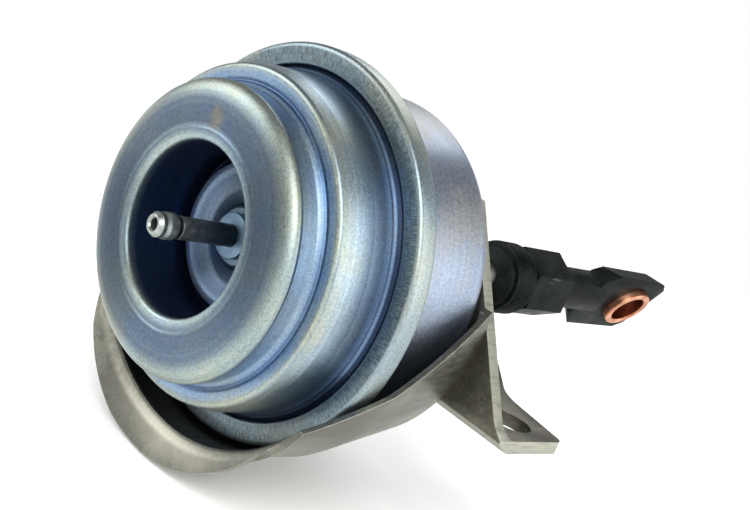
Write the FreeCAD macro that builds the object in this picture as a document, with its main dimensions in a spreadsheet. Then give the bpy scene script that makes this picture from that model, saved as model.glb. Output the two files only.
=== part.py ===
import FreeCAD, Part
import math
import os
import Sketcher

# Vacuum actuator of a turbocharger, on its bracket, in millimetres.
# The origin is the centre of the visible bolt hole, on the bracket's mounting face.
# +Y runs along the rod, away from the vacuum nipple, and +Z leaves the mounting face.
# Every piece on the rod's axis is drawn about its own Y axis, with y = 0 in the middle of the rim.

SIZES = {
    # where the can stands on its bracket
    "axis_offset": 36.5, "axis_height": 16.0, "plate_setback": 11.4,
    # the two pressed cans
    "can_sheet": 0.9, "rim_radius": 35.0, "rim_step": 5.1, "back_depth": 22.0,
    "crimp_lip": 4.0, "crimp_gap": 0.2, "rim_front": 2.5, "mid_depth": 14.2, "mid_flare": 0.4,
    "nose_depth": 21.5, "shoulder_step": 4.5, "nose_bead": 18.8, "bead_height": 0.35,
    "rim_round": 0.8, "nose_round": 2.0, "mid_round": 2.6, "back_round": 2.0, "root_round": 1.0,
    "inner_bevel": 1.2,
    # the well in the nose, and the ring and boss pressed in its floor
    "well_radius": 13.8, "well_round": 2.6, "well_floor": 8.0, "ring_crest": 10.4,
    "ring_outer": 12.4, "ring_inner": 10.6, "ring_slope": 1.9, "ring_foot": 0.95,
    "dish_depth": 8.6, "boss_radius": 5.0, "boss_front": 9.6, "boss_slope": 0.6,
    # the vacuum nipple
    "nipple_reach": 27.4, "nipple_head": 2.25, "nipple_head_length": 5.2, "nipple_tube": 1.95,
    "nipple_bore": 1.0, "nipple_nose": 0.6, "nipple_tail": 0.8,
    "collar_radius": 4.0, "collar_sheet": 0.8, "collar_neck": 2.9,
    # diaphragm, piston and what holds them on the rod
    "rubber": 0.6, "rubber_gap": 0.3, "roll_gap": 3.9, "piston_sheet": 1.0,
    "piston_skirt": 10.0, "piston_inset": 6.0, "retainer_inset": 4.0, "retainer_sheet": 1.0,
    "spigot_radius": 2.5, "washer_radius": 7.0, "washer_sheet": 0.8, "sleeve_radius": 4.2,
    "spigot_end": 0.8, "tip_bevel": 0.4, "piston_nut_flats": 8.0, "piston_nut_height": 4.0, "stroke": 13.0,
    "stop_gap": 0.1,
    # the return spring
    "wire_radius": 1.1, "coil_inset": 5.4, "coil_turns": 5.5, "coil_steps": 16,
    "seat_sheet": 1.0, "seat_rim": 2.6, "seat_gap": 0.15, "spring_gap": 0.05,
    # rod, its guide and its seal
    "rod_radius": 3.0, "rod_collar": 4.5, "rod_collar_width": 1.2, "running_gap": 0.05,
    "bush_radius": 4.48, "bush_flange": 7.0, "bush_flange_width": 1.2, "bush_tail": 2.6,
    "press_gap": 0.02, "bolt_gap": 0.3, "clip_radius": 7.5, "clip_sheet": 0.8,
    "seal_radius": 7.0, "seal_lip": 1.6,
    # studs and nuts between can and bracket
    "stud_radius": 3.0, "stud_spread": 17.0, "stud_rise": 2.0, "stud_head": 4.5,
    "stud_head_width": 1.2, "stud_length": 11.4, "stud_washer_radius": 6.0,
    "stud_washer_sheet": 1.2, "stud_nut_flats": 10.0, "stud_nut_height": 5.0,
    # the bracket
    "bracket_sheet": 2.4, "bend_inner": 2.0, "foot_right": 7.4, "foot_left": 60.5,
    "foot_near": 7.3, "foot_slant": 3.3, "foot_far": 23.6,
    "foot_step": 17.5, "foot_sweep": 13.5, "foot_curve": 14.0, "foot_corner": 2.0,
    "bolt_radius": 4.25, "second_bolt_left": 50.0, "second_bolt_back": 12.5,
    "plate_top": 20.0, "plate_top_half": 19.0, "plate_waist": 2.6, "plate_left": 36.0,
    "plate_left_rise": 15.6,
    "plate_left_lift": 4.0, "plate_corner": 3.0,
    # the heat shield
    "shield_sheet": 1.0, "shield_gap": 0.8, "shield_taper": 4.4, "shield_shoulder": 3.0,
    "shield_flange": 2.0, "flare_start": 8.8, "flare_ease": 0.9, "flare_height": 4.7,
    "lip_front": 12.4, "shield_ease": 0.3, "crescent_left": 1.0, "crescent_drop": 10.6,
    "crescent_radius": 31.0,
    "edge_height": 4.6, "edge_waist": 20.5, "edge_foot": 30.0,
    # lock nut, rod end and its bush
    "nut_front": 57.2, "nut_boss_radius": 4.8, "nut_boss": 2.6, "nut_back": 67.0,
    "nut_radius": 7.5, "nut_chamfer": 1.6, "nut_teeth": 24, "tooth_depth": 0.55,
    "tooth_half": 0.7, "sleeve_back": 79.5, "sleeve_flats": 13.0, "thread_depth": 8.0,
    "neck_radius": 4.5, "tab_before": 15.4, "tab_after": 9.6, "tab_width": 18.4,
    "tab_thickness": 5.0, "tab_chamfer": 3.2, "tab_tip": 1.6, "eye_reach": 108.4,
    "eye_bush_radius": 5.5, "eye_bore": 4.0, "eye_bush_length": 8.0, "eye_turn": 29.3,
}

doc = FreeCAD.newDocument("turbo_actuator")
sheet = doc.addObject("Spreadsheet::Sheet", "Sizes")


class Dim:
    """A size that carries the sheet formula it is worked out with."""

    def __init__(self, value, text):
        self.value = float(value)
        self.text = text

    def __add__(self, other):
        other = as_dim(other)
        return Dim(self.value + other.value, f"({self.text} + {other.text})")

    def __sub__(self, other):
        other = as_dim(other)
        return Dim(self.value - other.value, f"({self.text} - {other.text})")

    def __mul__(self, other):
        other = as_dim(other)
        return Dim(self.value * other.value, f"({self.text} * {other.text})")

    def __truediv__(self, other):
        other = as_dim(other)
        return Dim(self.value / other.value, f"({self.text} / {other.text})")

    def __neg__(self):
        return Dim(-self.value, f"(0 - {self.text})")

    def __radd__(self, other):
        return as_dim(other) + self

    def __rsub__(self, other):
        return as_dim(other) - self


def as_dim(value):
    return value if isinstance(value, Dim) else Dim(value, repr(value))


class Table:
    """The sheet's sizes, each one as an attribute of that name."""


D = Table()
for row, (alias, number) in enumerate(SIZES.items(), 1):
    sheet.set(f"A{row}", alias)
    sheet.set(f"B{row}", str(number))
    sheet.setAlias(f"B{row}", alias)
    setattr(D, alias, Dim(number, f"Sizes.{alias}"))
doc.recompute()

# sizes that follow from others
D.mid_radius = D.rim_radius - D.crimp_lip - D.root_round - D.mid_flare - D.crimp_gap
D.nose_wall = D.mid_radius - D.shoulder_step
D.nose_radius = D.nose_wall + D.bead_height
D.back_radius = D.rim_radius - D.rim_step
D.piston_radius = D.back_radius - D.roll_gap
D.retainer_radius = D.piston_radius - D.retainer_inset
D.piston_front = D.back_depth - D.piston_inset
D.shield_wall = D.rim_radius + D.shield_gap + D.shield_sheet
D.shield_back_radius = D.shield_wall - D.shield_taper
D.tab_front = D.eye_reach - D.tab_before
D.tab_back = D.eye_reach + D.tab_after

ZERO = as_dim(0)
ROOT3 = math.sqrt(3)

# stations along the rod, from the middle of the rim
nose_face = -D.nose_depth
plate_front = D.back_depth
plate_back = plate_front + D.bracket_sheet
back_wall = D.back_depth - D.can_sheet
rubber_front = D.piston_front + D.piston_sheet
rubber_back = rubber_front + D.rubber
rod_shoulder = rubber_back + D.retainer_sheet
rod_stop = rod_shoulder + D.rod_collar_width
bush_front = back_wall - D.bush_flange_width
tail_end = -D.boss_front + D.can_sheet + D.nipple_tail
nut_face = tail_end + D.stroke + D.stop_gap + D.spigot_end
rod_end_hole = D.nut_back + D.thread_depth
foot_top = -D.axis_height + D.bracket_sheet


def new_body(name, turn=None):
    """A body whose Y axis is the rod's axis, placed on the bracket."""
    body = doc.addObject("PartDesign::Body", name)
    body.Label = name
    body.setExpression(".Placement.Base.x", (-D.axis_offset).text)
    body.setExpression(".Placement.Base.y", (-D.plate_setback - D.back_depth).text)
    body.setExpression(".Placement.Base.z", D.axis_height.text)
    if turn is not None:
        body.Placement.Rotation = FreeCAD.Rotation(FreeCAD.Vector(0, 1, 0), turn.value)
    return body


def new_sketch(body, name, plane):
    sketch = body.newObject("Sketcher::SketchObject", name)
    origin_plane = [item for item in body.Origin.OriginFeatures if item.Role == plane][0]
    sketch.AttachmentSupport = [(origin_plane, "")]
    sketch.MapMode = "FlatFace"
    return sketch


def pin_point(sketch, geometry, point, across, up):
    """Holds one point of a sketch at its two sizes from the sketch's origin."""
    for kind, size in (("DistanceX", across), ("DistanceY", up)):
        index = sketch.addConstraint(Sketcher.Constraint(kind, -1, 1, geometry, point, size.value))
        sketch.setExpression(f"Constraints[{index}]", size.text)


def draw_outline(sketch, corners):
    """A closed outline through corners, each held at its own sizes."""
    corners = [(as_dim(across), as_dim(up)) for across, up in corners]
    places = [FreeCAD.Vector(across.value, up.value, 0) for across, up in corners]
    first = sketch.GeometryCount
    count = len(corners)
    for number in range(count):
        line = Part.LineSegment(places[number], places[(number + 1) % count])
        sketch.addGeometry(line, False)
    for number in range(count):
        following = first + (number + 1) % count
        sketch.addConstraint(Sketcher.Constraint("Coincident", first + number, 2, following, 1))
    for number, (across, up) in enumerate(corners):
        pin_point(sketch, first + number, 1, across, up)


def draw_circle(sketch, across, up, radius):
    across, up = as_dim(across), as_dim(up)
    centre = FreeCAD.Vector(across.value, up.value, 0)
    index = sketch.addGeometry(Part.Circle(centre, FreeCAD.Vector(0, 0, 1), radius.value), False)
    pin_point(sketch, index, 3, across, up)
    number = sketch.addConstraint(Sketcher.Constraint("Radius", index, radius.value))
    sketch.setExpression(f"Constraints[{number}]", radius.text)


def revolve(body, name, corners):
    """Turns a half section about the body's Y axis."""
    sketch = new_sketch(body, name + "_section", "XY_Plane")
    draw_outline(sketch, corners)
    feature = body.newObject("PartDesign::Revolution", name)
    feature.Profile = sketch
    feature.ReferenceAxis = (sketch, ["V_Axis"])
    feature.Angle = 360
    doc.recompute()
    return feature


def pad_along(body, name, draw, start, length):
    """Pads an outline seen along the rod from start, towards the rod end."""
    sketch = new_sketch(body, name + "_outline", "XZ_Plane")
    sketch.setExpression(".AttachmentOffset.Base.z", (-as_dim(start)).text)
    draw(sketch)
    feature = body.newObject("PartDesign::Pad", name)
    feature.Profile = sketch
    feature.Reversed = True
    feature.setExpression("Length", as_dim(length).text)
    doc.recompute()
    return feature


def cut_along(body, name, draw, start, length):
    """Cuts an outline seen along the rod from start, towards the nipple."""
    before = body.Shape.Volume
    sketch = new_sketch(body, name + "_outline", "XZ_Plane")
    sketch.setExpression(".AttachmentOffset.Base.z", (-as_dim(start)).text)
    draw(sketch)
    feature = body.newObject("PartDesign::Pocket", name)
    feature.Profile = sketch
    feature.Reversed = True
    feature.setExpression("Length", as_dim(length).text)
    doc.recompute()
    need_less(body, before, name)
    return feature


def need_less(body, before, name):
    if not body.Shape.Volume < before - 0.01:
        raise ValueError(f"{name} cuts nothing")


def straight_edges(body, test):
    """Names of the body's straight edges whose middle and direction pass the test."""
    names = []
    for number, edge in enumerate(body.Tip.Shape.Edges, 1):
        if isinstance(edge.Curve, Part.Line):
            middle = edge.valueAt((edge.FirstParameter + edge.LastParameter) / 2)
            if test(middle, edge.tangentAt(edge.FirstParameter)):
                names.append(f"Edge{number}")
    return names


def fillet(body, name, radius, edges):
    if not edges:
        raise ValueError(f"{name} finds no edge")
    rounded = body.Tip
    feature = body.newObject("PartDesign::Fillet", name)
    feature.Base = (rounded, edges)
    feature.setExpression("Radius", as_dim(radius).text)
    doc.recompute()
    return feature


def hexagon(flats):
    """Corners of a hexagon with two flats level, from its width across flats."""
    half = flats / 2
    side = flats / (2 * ROOT3)
    corner = flats / ROOT3
    return [(corner, ZERO), (side, half), (-side, half), (-corner, ZERO), (-side, -half), (side, -half)]


def eased(across, up, radius, side, end, chords=3):
    """A square corner of a half section, rounded by short chords that start on its side wall."""
    middle_across = across - radius * side
    middle_up = up - radius * end
    corners = []
    for step in range(chords + 1):
        angle = math.pi / 2 * step / chords
        corners.append((middle_across + radius * (side * math.cos(angle)),
                        middle_up + radius * (end * math.sin(angle))))
    return corners


def washer(name, inner, outer, front, back):
    body = new_body(name)
    revolve(body, "ring", [(inner, front), (outer, front), (outer, back), (inner, back)])
    return body


def front_can():
    """Pressed nose of the can, with the well that the nipple stands in."""
    skin = D.can_sheet
    half = skin / 2
    body = new_body("front_can")
    foot = D.ring_outer + D.ring_foot
    hole = D.nipple_tube + D.press_gap
    rim = D.rim_radius - skin - D.press_gap
    ring_root = D.ring_inner - D.ring_slope
    boss_root = D.boss_radius + D.boss_slope
    back_of_mid = D.mid_radius + D.mid_flare
    front = [
        (hole, -D.boss_front), (D.boss_radius, -D.boss_front), (boss_root, -D.dish_depth),
        (ring_root, -D.dish_depth), (D.ring_inner, -D.ring_crest), (D.ring_outer, -D.ring_crest),
        (foot, -D.well_floor), (D.well_radius, -D.well_floor),
    ]
    front += eased(D.well_radius, nose_face, D.well_round, -1, -1)
    front += eased(D.nose_radius, nose_face, D.nose_round, 1, -1)[::-1]
    front += [(D.nose_radius, -D.nose_bead), (D.nose_wall, -D.nose_bead), (D.nose_wall, -D.mid_depth)]
    front += eased(D.mid_radius, -D.mid_depth, D.mid_round, 1, -1)[::-1]
    front += [(back_of_mid, -skin - D.root_round), (back_of_mid + D.root_round, -skin), (rim, -skin)]
    back = [
        (rim, ZERO), (back_of_mid - skin, ZERO),
        (D.mid_radius - skin, -D.mid_depth + skin + D.inner_bevel),
        (D.mid_radius - skin - D.inner_bevel, -D.mid_depth + skin),
        (D.nose_wall - skin, -D.mid_depth + skin), (D.nose_wall - skin, nose_face + skin),
        (D.well_radius + skin + D.inner_bevel, nose_face + skin),
        (D.well_radius + skin, nose_face + skin + D.inner_bevel),
        (D.well_radius + skin, -D.well_floor + skin),
        (foot - half, -D.well_floor + skin), (D.ring_outer - half, -D.ring_crest + skin),
        (D.ring_inner + half, -D.ring_crest + skin), (ring_root + half, -D.dish_depth + skin),
        (boss_root - half, -D.dish_depth + skin), (D.boss_radius - half, -D.boss_front + skin),
        (hole, -D.boss_front + skin),
    ]
    revolve(body, "pressing", front + back)
    return body


def rear_can():
    """Pressed back of the can, whose rim is crimped over the front can's flange."""
    skin = D.can_sheet
    body = new_body("rear_can")
    inside_rim = D.rim_radius - skin
    lip = D.rim_radius - D.crimp_lip
    rim = skin * 2
    front = -D.rim_front
    hole = D.bush_radius + D.press_gap
    section = [(lip, -skin - D.press_gap), (lip, front)]
    section += eased(D.rim_radius, front, D.rim_round, 1, -1, 2)[::-1]
    section += eased(D.rim_radius, rim, D.rim_round, 1, 1, 2)
    section += [(D.back_radius + D.root_round, rim), (D.back_radius, rim + D.root_round)]
    section += eased(D.back_radius, D.back_depth, D.back_round, 1, 1)
    section += [
        (hole, D.back_depth), (hole, back_wall), (D.back_radius - skin - D.inner_bevel, back_wall),
        (D.back_radius - skin, back_wall - D.inner_bevel), (D.back_radius - skin, skin),
        (inside_rim, skin), (inside_rim, -skin - D.press_gap),
    ]
    revolve(body, "pressing", section)

    def holes(sketch):
        for side in (1, -1):
            draw_circle(sketch, D.stud_spread * side, D.stud_rise, D.stud_radius + D.press_gap)
    cut_along(body, "stud_holes", holes, D.back_depth, skin * 2)
    return body


def vacuum_nipple():
    """Tube through the floor of the well, with a larger head that grips the hose."""
    body = new_body("vacuum_nipple")
    tip = -D.nipple_reach
    neck = tip + D.nipple_head_length
    revolve(body, "tube", [
        (D.nipple_bore, tip), (D.nipple_head - D.nipple_nose, tip),
        (D.nipple_head, tip + D.nipple_nose), (D.nipple_head, neck), (D.nipple_tube, neck),
        (D.nipple_tube, tail_end), (D.nipple_bore, tail_end),
    ])
    return body


def nipple_collar():
    """Stepped washer that seats the nipple on the boss of the well's floor."""
    body = new_body("nipple_collar")
    inner = D.nipple_tube + D.press_gap
    front = -D.boss_front - D.collar_sheet - D.boss_slope
    step = front + D.collar_sheet
    revolve(body, "ring", [
        (inner, front), (D.collar_radius, front), (D.collar_radius, step),
        (D.collar_neck, step), (D.collar_neck, -D.boss_front), (inner, -D.boss_front),
    ])
    return body


def diaphragm():
    """Rubber cup between the two cans' flanges and the piston."""
    body = new_body("diaphragm")
    outer = D.back_radius - D.can_sheet - D.rubber_gap
    edge = D.rim_radius - D.can_sheet - D.rubber_gap
    hole = D.spigot_radius + D.running_gap
    revolve(body, "cup", [
        (edge, ZERO), (edge, D.can_sheet), (outer, D.can_sheet), (outer, rubber_back),
        (hole, rubber_back), (hole, rubber_front), (outer - D.rubber, rubber_front),
        (outer - D.rubber, ZERO),
    ])
    return body


def diaphragm_piston():
    """Pressed cup that backs the rubber and takes the spring."""
    body = new_body("diaphragm_piston")
    hole = D.spigot_radius + D.running_gap
    skirt_front = rubber_front - D.piston_skirt
    inside = D.piston_radius - D.piston_sheet
    revolve(body, "cup", [
        (hole, rubber_front), (hole, D.piston_front), (inside, D.piston_front),
        (inside, skirt_front), (D.piston_radius, skirt_front), (D.piston_radius, rubber_front),
    ])
    return body


def return_spring():
    """Coil spring between its seat in the nose and the piston, as a chain of short stretches."""
    coil = doc.addObject("Part::Feature", "return_spring")
    coil.Label = "return_spring"
    wire = sheet.get("wire_radius")
    radius = sheet.get("rim_radius") - sheet.get("crimp_lip") - sheet.get("root_round")
    radius -= sheet.get("mid_flare") + sheet.get("crimp_gap") + sheet.get("shoulder_step")
    radius -= sheet.get("coil_inset")
    steps = int(sheet.get("coil_steps"))
    nose = sheet.get("can_sheet") + sheet.get("seat_sheet") - sheet.get("nose_depth")
    front = nose + wire + sheet.get("spring_gap")
    back = sheet.get("back_depth") - sheet.get("piston_inset") - wire - sheet.get("spring_gap")
    count = int(round(sheet.get("coil_turns") * steps))
    sections = []
    for number in range(count + 1):
        angle = 2 * math.pi * number / steps
        station = front + (back - front) * number / count
        corners = []
        for side in range(7):
            round_wire = math.radians(60 * side)
            reach = radius + wire * math.cos(round_wire)
            corners.append(FreeCAD.Vector(reach * math.cos(angle), station + wire * math.sin(round_wire),
                                          reach * math.sin(angle)))
        sections.append(corners)
    faces = [Part.Face(Part.makePolygon(sections[0])), Part.Face(Part.makePolygon(sections[-1]))]
    for here, there in zip(sections, sections[1:]):
        for side in range(6):
            first = [here[side], here[side + 1], there[side], here[side]]
            second = [here[side + 1], there[side + 1], there[side], here[side + 1]]
            faces.append(Part.Face(Part.makePolygon(first)))
            faces.append(Part.Face(Part.makePolygon(second)))
    solid = Part.Solid(Part.makeShell(faces))
    if solid.Volume < 0:
        solid.reverse()
    coil.Shape = solid
    coil.setExpression(".Placement.Base.x", (-D.axis_offset).text)
    coil.setExpression(".Placement.Base.y", (-D.plate_setback - D.back_depth).text)
    coil.setExpression(".Placement.Base.z", D.axis_height.text)
    return coil


def spring_seat():
    """Dished ring that centres the spring in the nose of the can."""
    body = new_body("spring_seat")
    front = nose_face + D.can_sheet
    floor = front + D.seat_sheet
    inner = D.well_radius + D.can_sheet + D.inner_bevel + D.seat_gap
    outer = D.nose_wall - D.can_sheet - D.seat_gap
    rim = outer - D.seat_sheet
    revolve(body, "ring", [
        (inner, front), (outer, front), (outer, front + D.seat_rim), (rim, front + D.seat_rim),
        (rim, floor), (inner, floor),
    ])
    return body


def actuator_rod():
    """Rod from the piston's nut to the thread of the rod end."""
    body = new_body("actuator_rod")
    front = nut_face - D.spigot_end
    end = rod_end_hole
    tip = D.tip_bevel
    revolve(body, "turning", [
        (ZERO, front), (D.spigot_radius - tip, front), (D.spigot_radius, front + tip),
        (D.spigot_radius, rod_shoulder), (D.rod_collar, rod_shoulder), (D.rod_collar, rod_stop),
        (D.rod_radius, rod_stop), (D.rod_radius, end - tip), (D.rod_radius - tip, end),
        (ZERO, end),
    ])
    return body


def nut_on_axis(name, flats, bore, front, back):
    """Hexagon nut with a plain bore."""
    body = new_body(name)
    pad_along(body, "blank", lambda sketch: draw_outline(sketch, hexagon(flats)), front, back - front)
    cut_along(body, "bore", lambda sketch: draw_circle(sketch, 0, 0, bore), back, back - front)
    return body


def rod_guide_bush():
    """Flanged bush that carries the rod in the back of the can."""
    body = new_body("rod_guide_bush")
    bore = D.rod_radius + D.running_gap
    tail = plate_back + D.bush_tail
    revolve(body, "turning", [
        (bore, bush_front), (D.bush_flange, bush_front), (D.bush_flange, back_wall),
        (D.bush_radius, back_wall), (D.bush_radius, tail), (bore, tail),
    ])
    return body


def rod_dust_seal():
    """Rubber cap on the tail of the guide bush, with its lip round the rod."""
    body = new_body("rod_dust_seal")
    front = plate_back + D.clip_sheet
    tail = plate_back + D.bush_tail
    seat = D.bush_radius + D.press_gap
    lip = D.rod_radius + D.rubber_gap
    revolve(body, "moulding", [
        (seat, front), (D.seal_radius, front), (D.seal_radius, tail), (seat, tail + D.seal_lip),
        (lip, tail + D.seal_lip), (lip, tail), (seat, tail),
    ])
    return body


def mounting_studs():
    """Two studs with flat heads inside the back of the can."""
    pieces = []
    for side, name in ((1, "right"), (-1, "left")):
        for part, radius, front, back in (
                ("head", D.stud_head, back_wall - D.stud_head_width, back_wall),
                ("shank", D.stud_radius, back_wall, back_wall + D.stud_length)):
            pieces.append(stud_cylinder(f"stud_{name}_{part}", D.stud_spread * side, radius, front, back))
    fused = [pair(f"stud_{name}", pieces[number], pieces[number + 1])
             for number, name in ((0, "right"), (2, "left"))]
    return group("mounting_studs", fused)


def stud_cylinder(name, across, radius, front, back):
    cylinder = doc.addObject("Part::Cylinder", name)
    cylinder.setExpression("Radius", radius.text)
    cylinder.setExpression("Height", (back - front).text)
    cylinder.Placement.Rotation = FreeCAD.Rotation(FreeCAD.Vector(1, 0, 0), -90)
    station = front - D.plate_setback - D.back_depth
    cylinder.setExpression(".Placement.Base.x", (across - D.axis_offset).text)
    cylinder.setExpression(".Placement.Base.y", station.text)
    cylinder.setExpression(".Placement.Base.z", (D.axis_height + D.stud_rise).text)
    return cylinder


def pair(name, first, second):
    fused = doc.addObject("Part::Fuse", name)
    fused.Base = first
    fused.Tool = second
    return fused


def hollow(name, blank, bore):
    cut = doc.addObject("Part::Cut", name)
    cut.Base = blank
    cut.Tool = bore
    return cut


def group(name, members):
    compound = doc.addObject("Part::Compound", name)
    compound.Label = name
    compound.Links = members
    doc.recompute()
    return compound


def stud_washers():
    members = []
    for side, name in ((1, "right"), (-1, "left")):
        across = D.stud_spread * side
        back = plate_back + D.stud_washer_sheet
        blank = stud_cylinder(f"washer_{name}_blank", across, D.stud_washer_radius, plate_back, back)
        bore = stud_cylinder(f"washer_{name}_bore", across, D.stud_radius + D.bolt_gap, plate_back, back)
        members.append(hollow(f"washer_{name}", blank, bore))
    return group("stud_washers", members)


def stud_nuts():
    members = []
    front = plate_back + D.stud_washer_sheet
    back = front + D.stud_nut_height
    for side, name in ((1, "right"), (-1, "left")):
        across = D.stud_spread * side
        blank = doc.addObject("Part::Prism", f"nut_{name}_blank")
        blank.Polygon = 6
        blank.setExpression("Circumradius", (D.stud_nut_flats / ROOT3).text)
        blank.setExpression("Height", (back - front).text)
        blank.Placement.Rotation = FreeCAD.Rotation(FreeCAD.Vector(1, 0, 0), -90)
        station = front - D.plate_setback - D.back_depth
        blank.setExpression(".Placement.Base.x", (across - D.axis_offset).text)
        blank.setExpression(".Placement.Base.y", station.text)
        blank.setExpression(".Placement.Base.z", (D.axis_height + D.stud_rise).text)
        bore = stud_cylinder(f"nut_{name}_bore", across, D.stud_radius + D.press_gap, front, back)
        members.append(hollow(f"nut_{name}", blank, bore))
    return group("stud_nuts", members)


def bracket():
    """Bent sheet: an upright plate behind the can and a foot with two bolt holes."""
    body = new_body("bracket")
    right = D.axis_offset + D.foot_right
    left = D.axis_offset - D.foot_left
    floor = -D.axis_height
    waist = floor + D.bracket_sheet
    free_edge = floor + D.plate_left_lift
    left_top = floor + D.plate_left_rise

    def plate(sketch):
        draw_outline(sketch, [
            (right, floor), (right, D.plate_top), (-D.plate_top_half, D.plate_top),
            (-D.plate_left, left_top),
            (-D.plate_left, free_edge + D.plate_corner), (D.plate_corner - D.plate_left, free_edge),
            (left, free_edge), (left, floor),
        ])
    pad_along(body, "plate", plate, plate_front, D.bracket_sheet)

    hole_station = plate_front + D.plate_setback
    rear = hole_station + D.foot_near
    far = hole_station + D.foot_far
    step = right - D.foot_step
    sketch = new_sketch(body, "foot_outline", "XY_Plane")
    sketch.setExpression(".AttachmentOffset.Base.z", floor.text)
    draw_outline(sketch, [
        (left, plate_front), (right, plate_front), (right, rear), (step, rear + D.foot_slant),
        (step - D.foot_sweep, far), (left, far),
    ])
    foot = body.newObject("PartDesign::Pad", "foot")
    foot.Profile = sketch
    foot.setExpression("Length", D.bracket_sheet.text)
    doc.recompute()

    def along_x(station, height):
        def test(middle, direction):
            level = abs(middle.y - station.value) < 1e-4 and abs(middle.z - height.value) < 1e-4
            return level and abs(direction.x) > 0.99
        return test

    def upright(across, station):
        def test(middle, direction):
            here = abs(middle.x - across.value) < 1e-4 and abs(middle.y - station.value) < 1e-4
            return here and abs(direction.z) > 0.99
        return test
    inside = straight_edges(body, along_x(plate_back, foot_top))
    fillet(body, "bend_inside", D.bend_inner, inside)
    outside = straight_edges(body, along_x(plate_front, floor))
    fillet(body, "bend_outside", D.bend_inner + D.bracket_sheet, outside)

    def slanted_side(sketch):
        past = right + D.bracket_sheet
        draw_outline(sketch, [
            (past, waist), (right, waist), (right - D.plate_waist, waist + D.plate_waist),
            (D.plate_top_half, D.plate_top), (D.plate_top_half, D.plate_top + D.bracket_sheet),
            (past, D.plate_top + D.bracket_sheet),
        ])
    bend = D.bend_inner + D.bracket_sheet
    cut_along(body, "slanted_side", slanted_side, plate_front + bend * 2, bend * 3)
    sweep = straight_edges(body, upright(step, rear + D.foot_slant))
    fillet(body, "foot_sweep", D.foot_curve, sweep)
    corners = straight_edges(body, upright(right, rear)) + straight_edges(body, upright(left, far))
    corners += straight_edges(body, upright(step - D.foot_sweep, far))
    fillet(body, "foot_corners", D.foot_corner, corners)

    before = body.Shape.Volume
    sketch = new_sketch(body, "bolt_outline", "XY_Plane")
    sketch.setExpression(".AttachmentOffset.Base.z", foot_top.text)
    draw_circle(sketch, D.axis_offset, hole_station, D.bolt_radius)
    second_across = D.axis_offset - D.second_bolt_left
    draw_circle(sketch, second_across, hole_station + D.second_bolt_back, D.bolt_radius)
    bolts = body.newObject("PartDesign::Pocket", "bolt_holes")
    bolts.Profile = sketch
    bolts.setExpression("Length", (D.bracket_sheet * 2).text)
    doc.recompute()
    need_less(body, before, "bolt_holes")

    def openings(sketch):
        draw_circle(sketch, 0, 0, D.bush_radius + D.bolt_gap)
        for side in (1, -1):
            draw_circle(sketch, D.stud_spread * side, D.stud_rise, D.stud_radius + D.bolt_gap)
    cut_along(body, "plate_holes", openings, plate_back, D.bracket_sheet * 2)
    return body


def heat_shield():
    """Drawn sheet round the lower half of the can, with a flared lip at the front."""
    skin = D.shield_sheet
    body = new_body("heat_shield")
    back = plate_front
    wall = D.shield_wall
    lip = wall + D.flare_height
    ease = D.shield_ease
    waist = D.flare_start + D.flare_ease
    revolve(body, "drawing", [
        (D.shield_back_radius - D.shield_flange, back), (D.shield_back_radius, back),
        (wall, D.shield_shoulder), (wall, -D.flare_start), (wall + D.flare_ease, -waist),
        (lip, skin - D.lip_front), (lip, -D.lip_front), (wall + D.flare_ease, -waist - skin),
        (wall - skin, -D.flare_start - ease), (wall - skin, D.shield_shoulder - ease),
        (D.shield_back_radius - skin, back - skin),
        (D.shield_back_radius - D.shield_flange, back - skin),
    ])

    before = body.Shape.Volume
    sketch = new_sketch(body, "open_side_outline", "YZ_Plane")
    past = back + skin
    above = lip + skin
    front = -D.lip_front - skin
    draw_outline(sketch, [
        (front, -D.edge_foot), (skin - D.lip_front, -D.edge_foot), (-D.flare_start, -D.edge_waist),
        (back, D.edge_height), (past, D.edge_height), (past, above), (front, above),
    ])
    side = body.newObject("PartDesign::Pocket", "open_side")
    side.Profile = sketch
    side.Midplane = True
    side.setExpression("Length", (above * 2).text)
    doc.recompute()
    need_less(body, before, "open_side")

    def crescent(sketch):
        draw_circle(sketch, 0, 0, lip + skin)
        draw_circle(sketch, -D.crescent_left, -D.crescent_drop, D.crescent_radius)
    cut_along(body, "lip_trim", crescent, -D.flare_start - skin, D.lip_front)
    return body


def lock_nut():
    """Round nut with a serrated rim that jams against the rod end."""
    body = new_body("lock_nut", D.eye_turn)
    bore = D.rod_radius + D.press_gap
    shoulder = D.nut_front + D.nut_boss
    revolve(body, "turning", [
        (bore, D.nut_front), (D.nut_boss_radius, D.nut_front), (D.nut_boss_radius, shoulder),
        (D.nut_radius - D.nut_chamfer, shoulder), (D.nut_radius, shoulder + D.nut_chamfer),
        (D.nut_radius, D.nut_back - D.nut_chamfer), (D.nut_radius - D.nut_chamfer, D.nut_back),
        (bore, D.nut_back),
    ])
    before = body.Shape.Volume
    top = D.nut_radius + D.tooth_depth

    def notch(sketch):
        draw_outline(sketch, [(D.nut_radius - D.tooth_depth, ZERO), (top, D.tooth_half * 2),
                              (top, -D.tooth_half * 2)])
    groove = cut_along(body, "notch", notch, D.nut_back, D.nut_back - D.nut_front - D.nut_boss)
    pattern = body.newObject("PartDesign::PolarPattern", "serration")
    pattern.Originals = [groove]
    pattern.Axis = ([item for item in body.Origin.OriginFeatures if item.Role == "Y_Axis"][0], [""])
    pattern.Angle = 360
    pattern.setExpression("Occurrences", D.nut_teeth.text)
    body.Tip = pattern
    doc.recompute()
    need_less(body, before, "serration")
    return body


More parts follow.
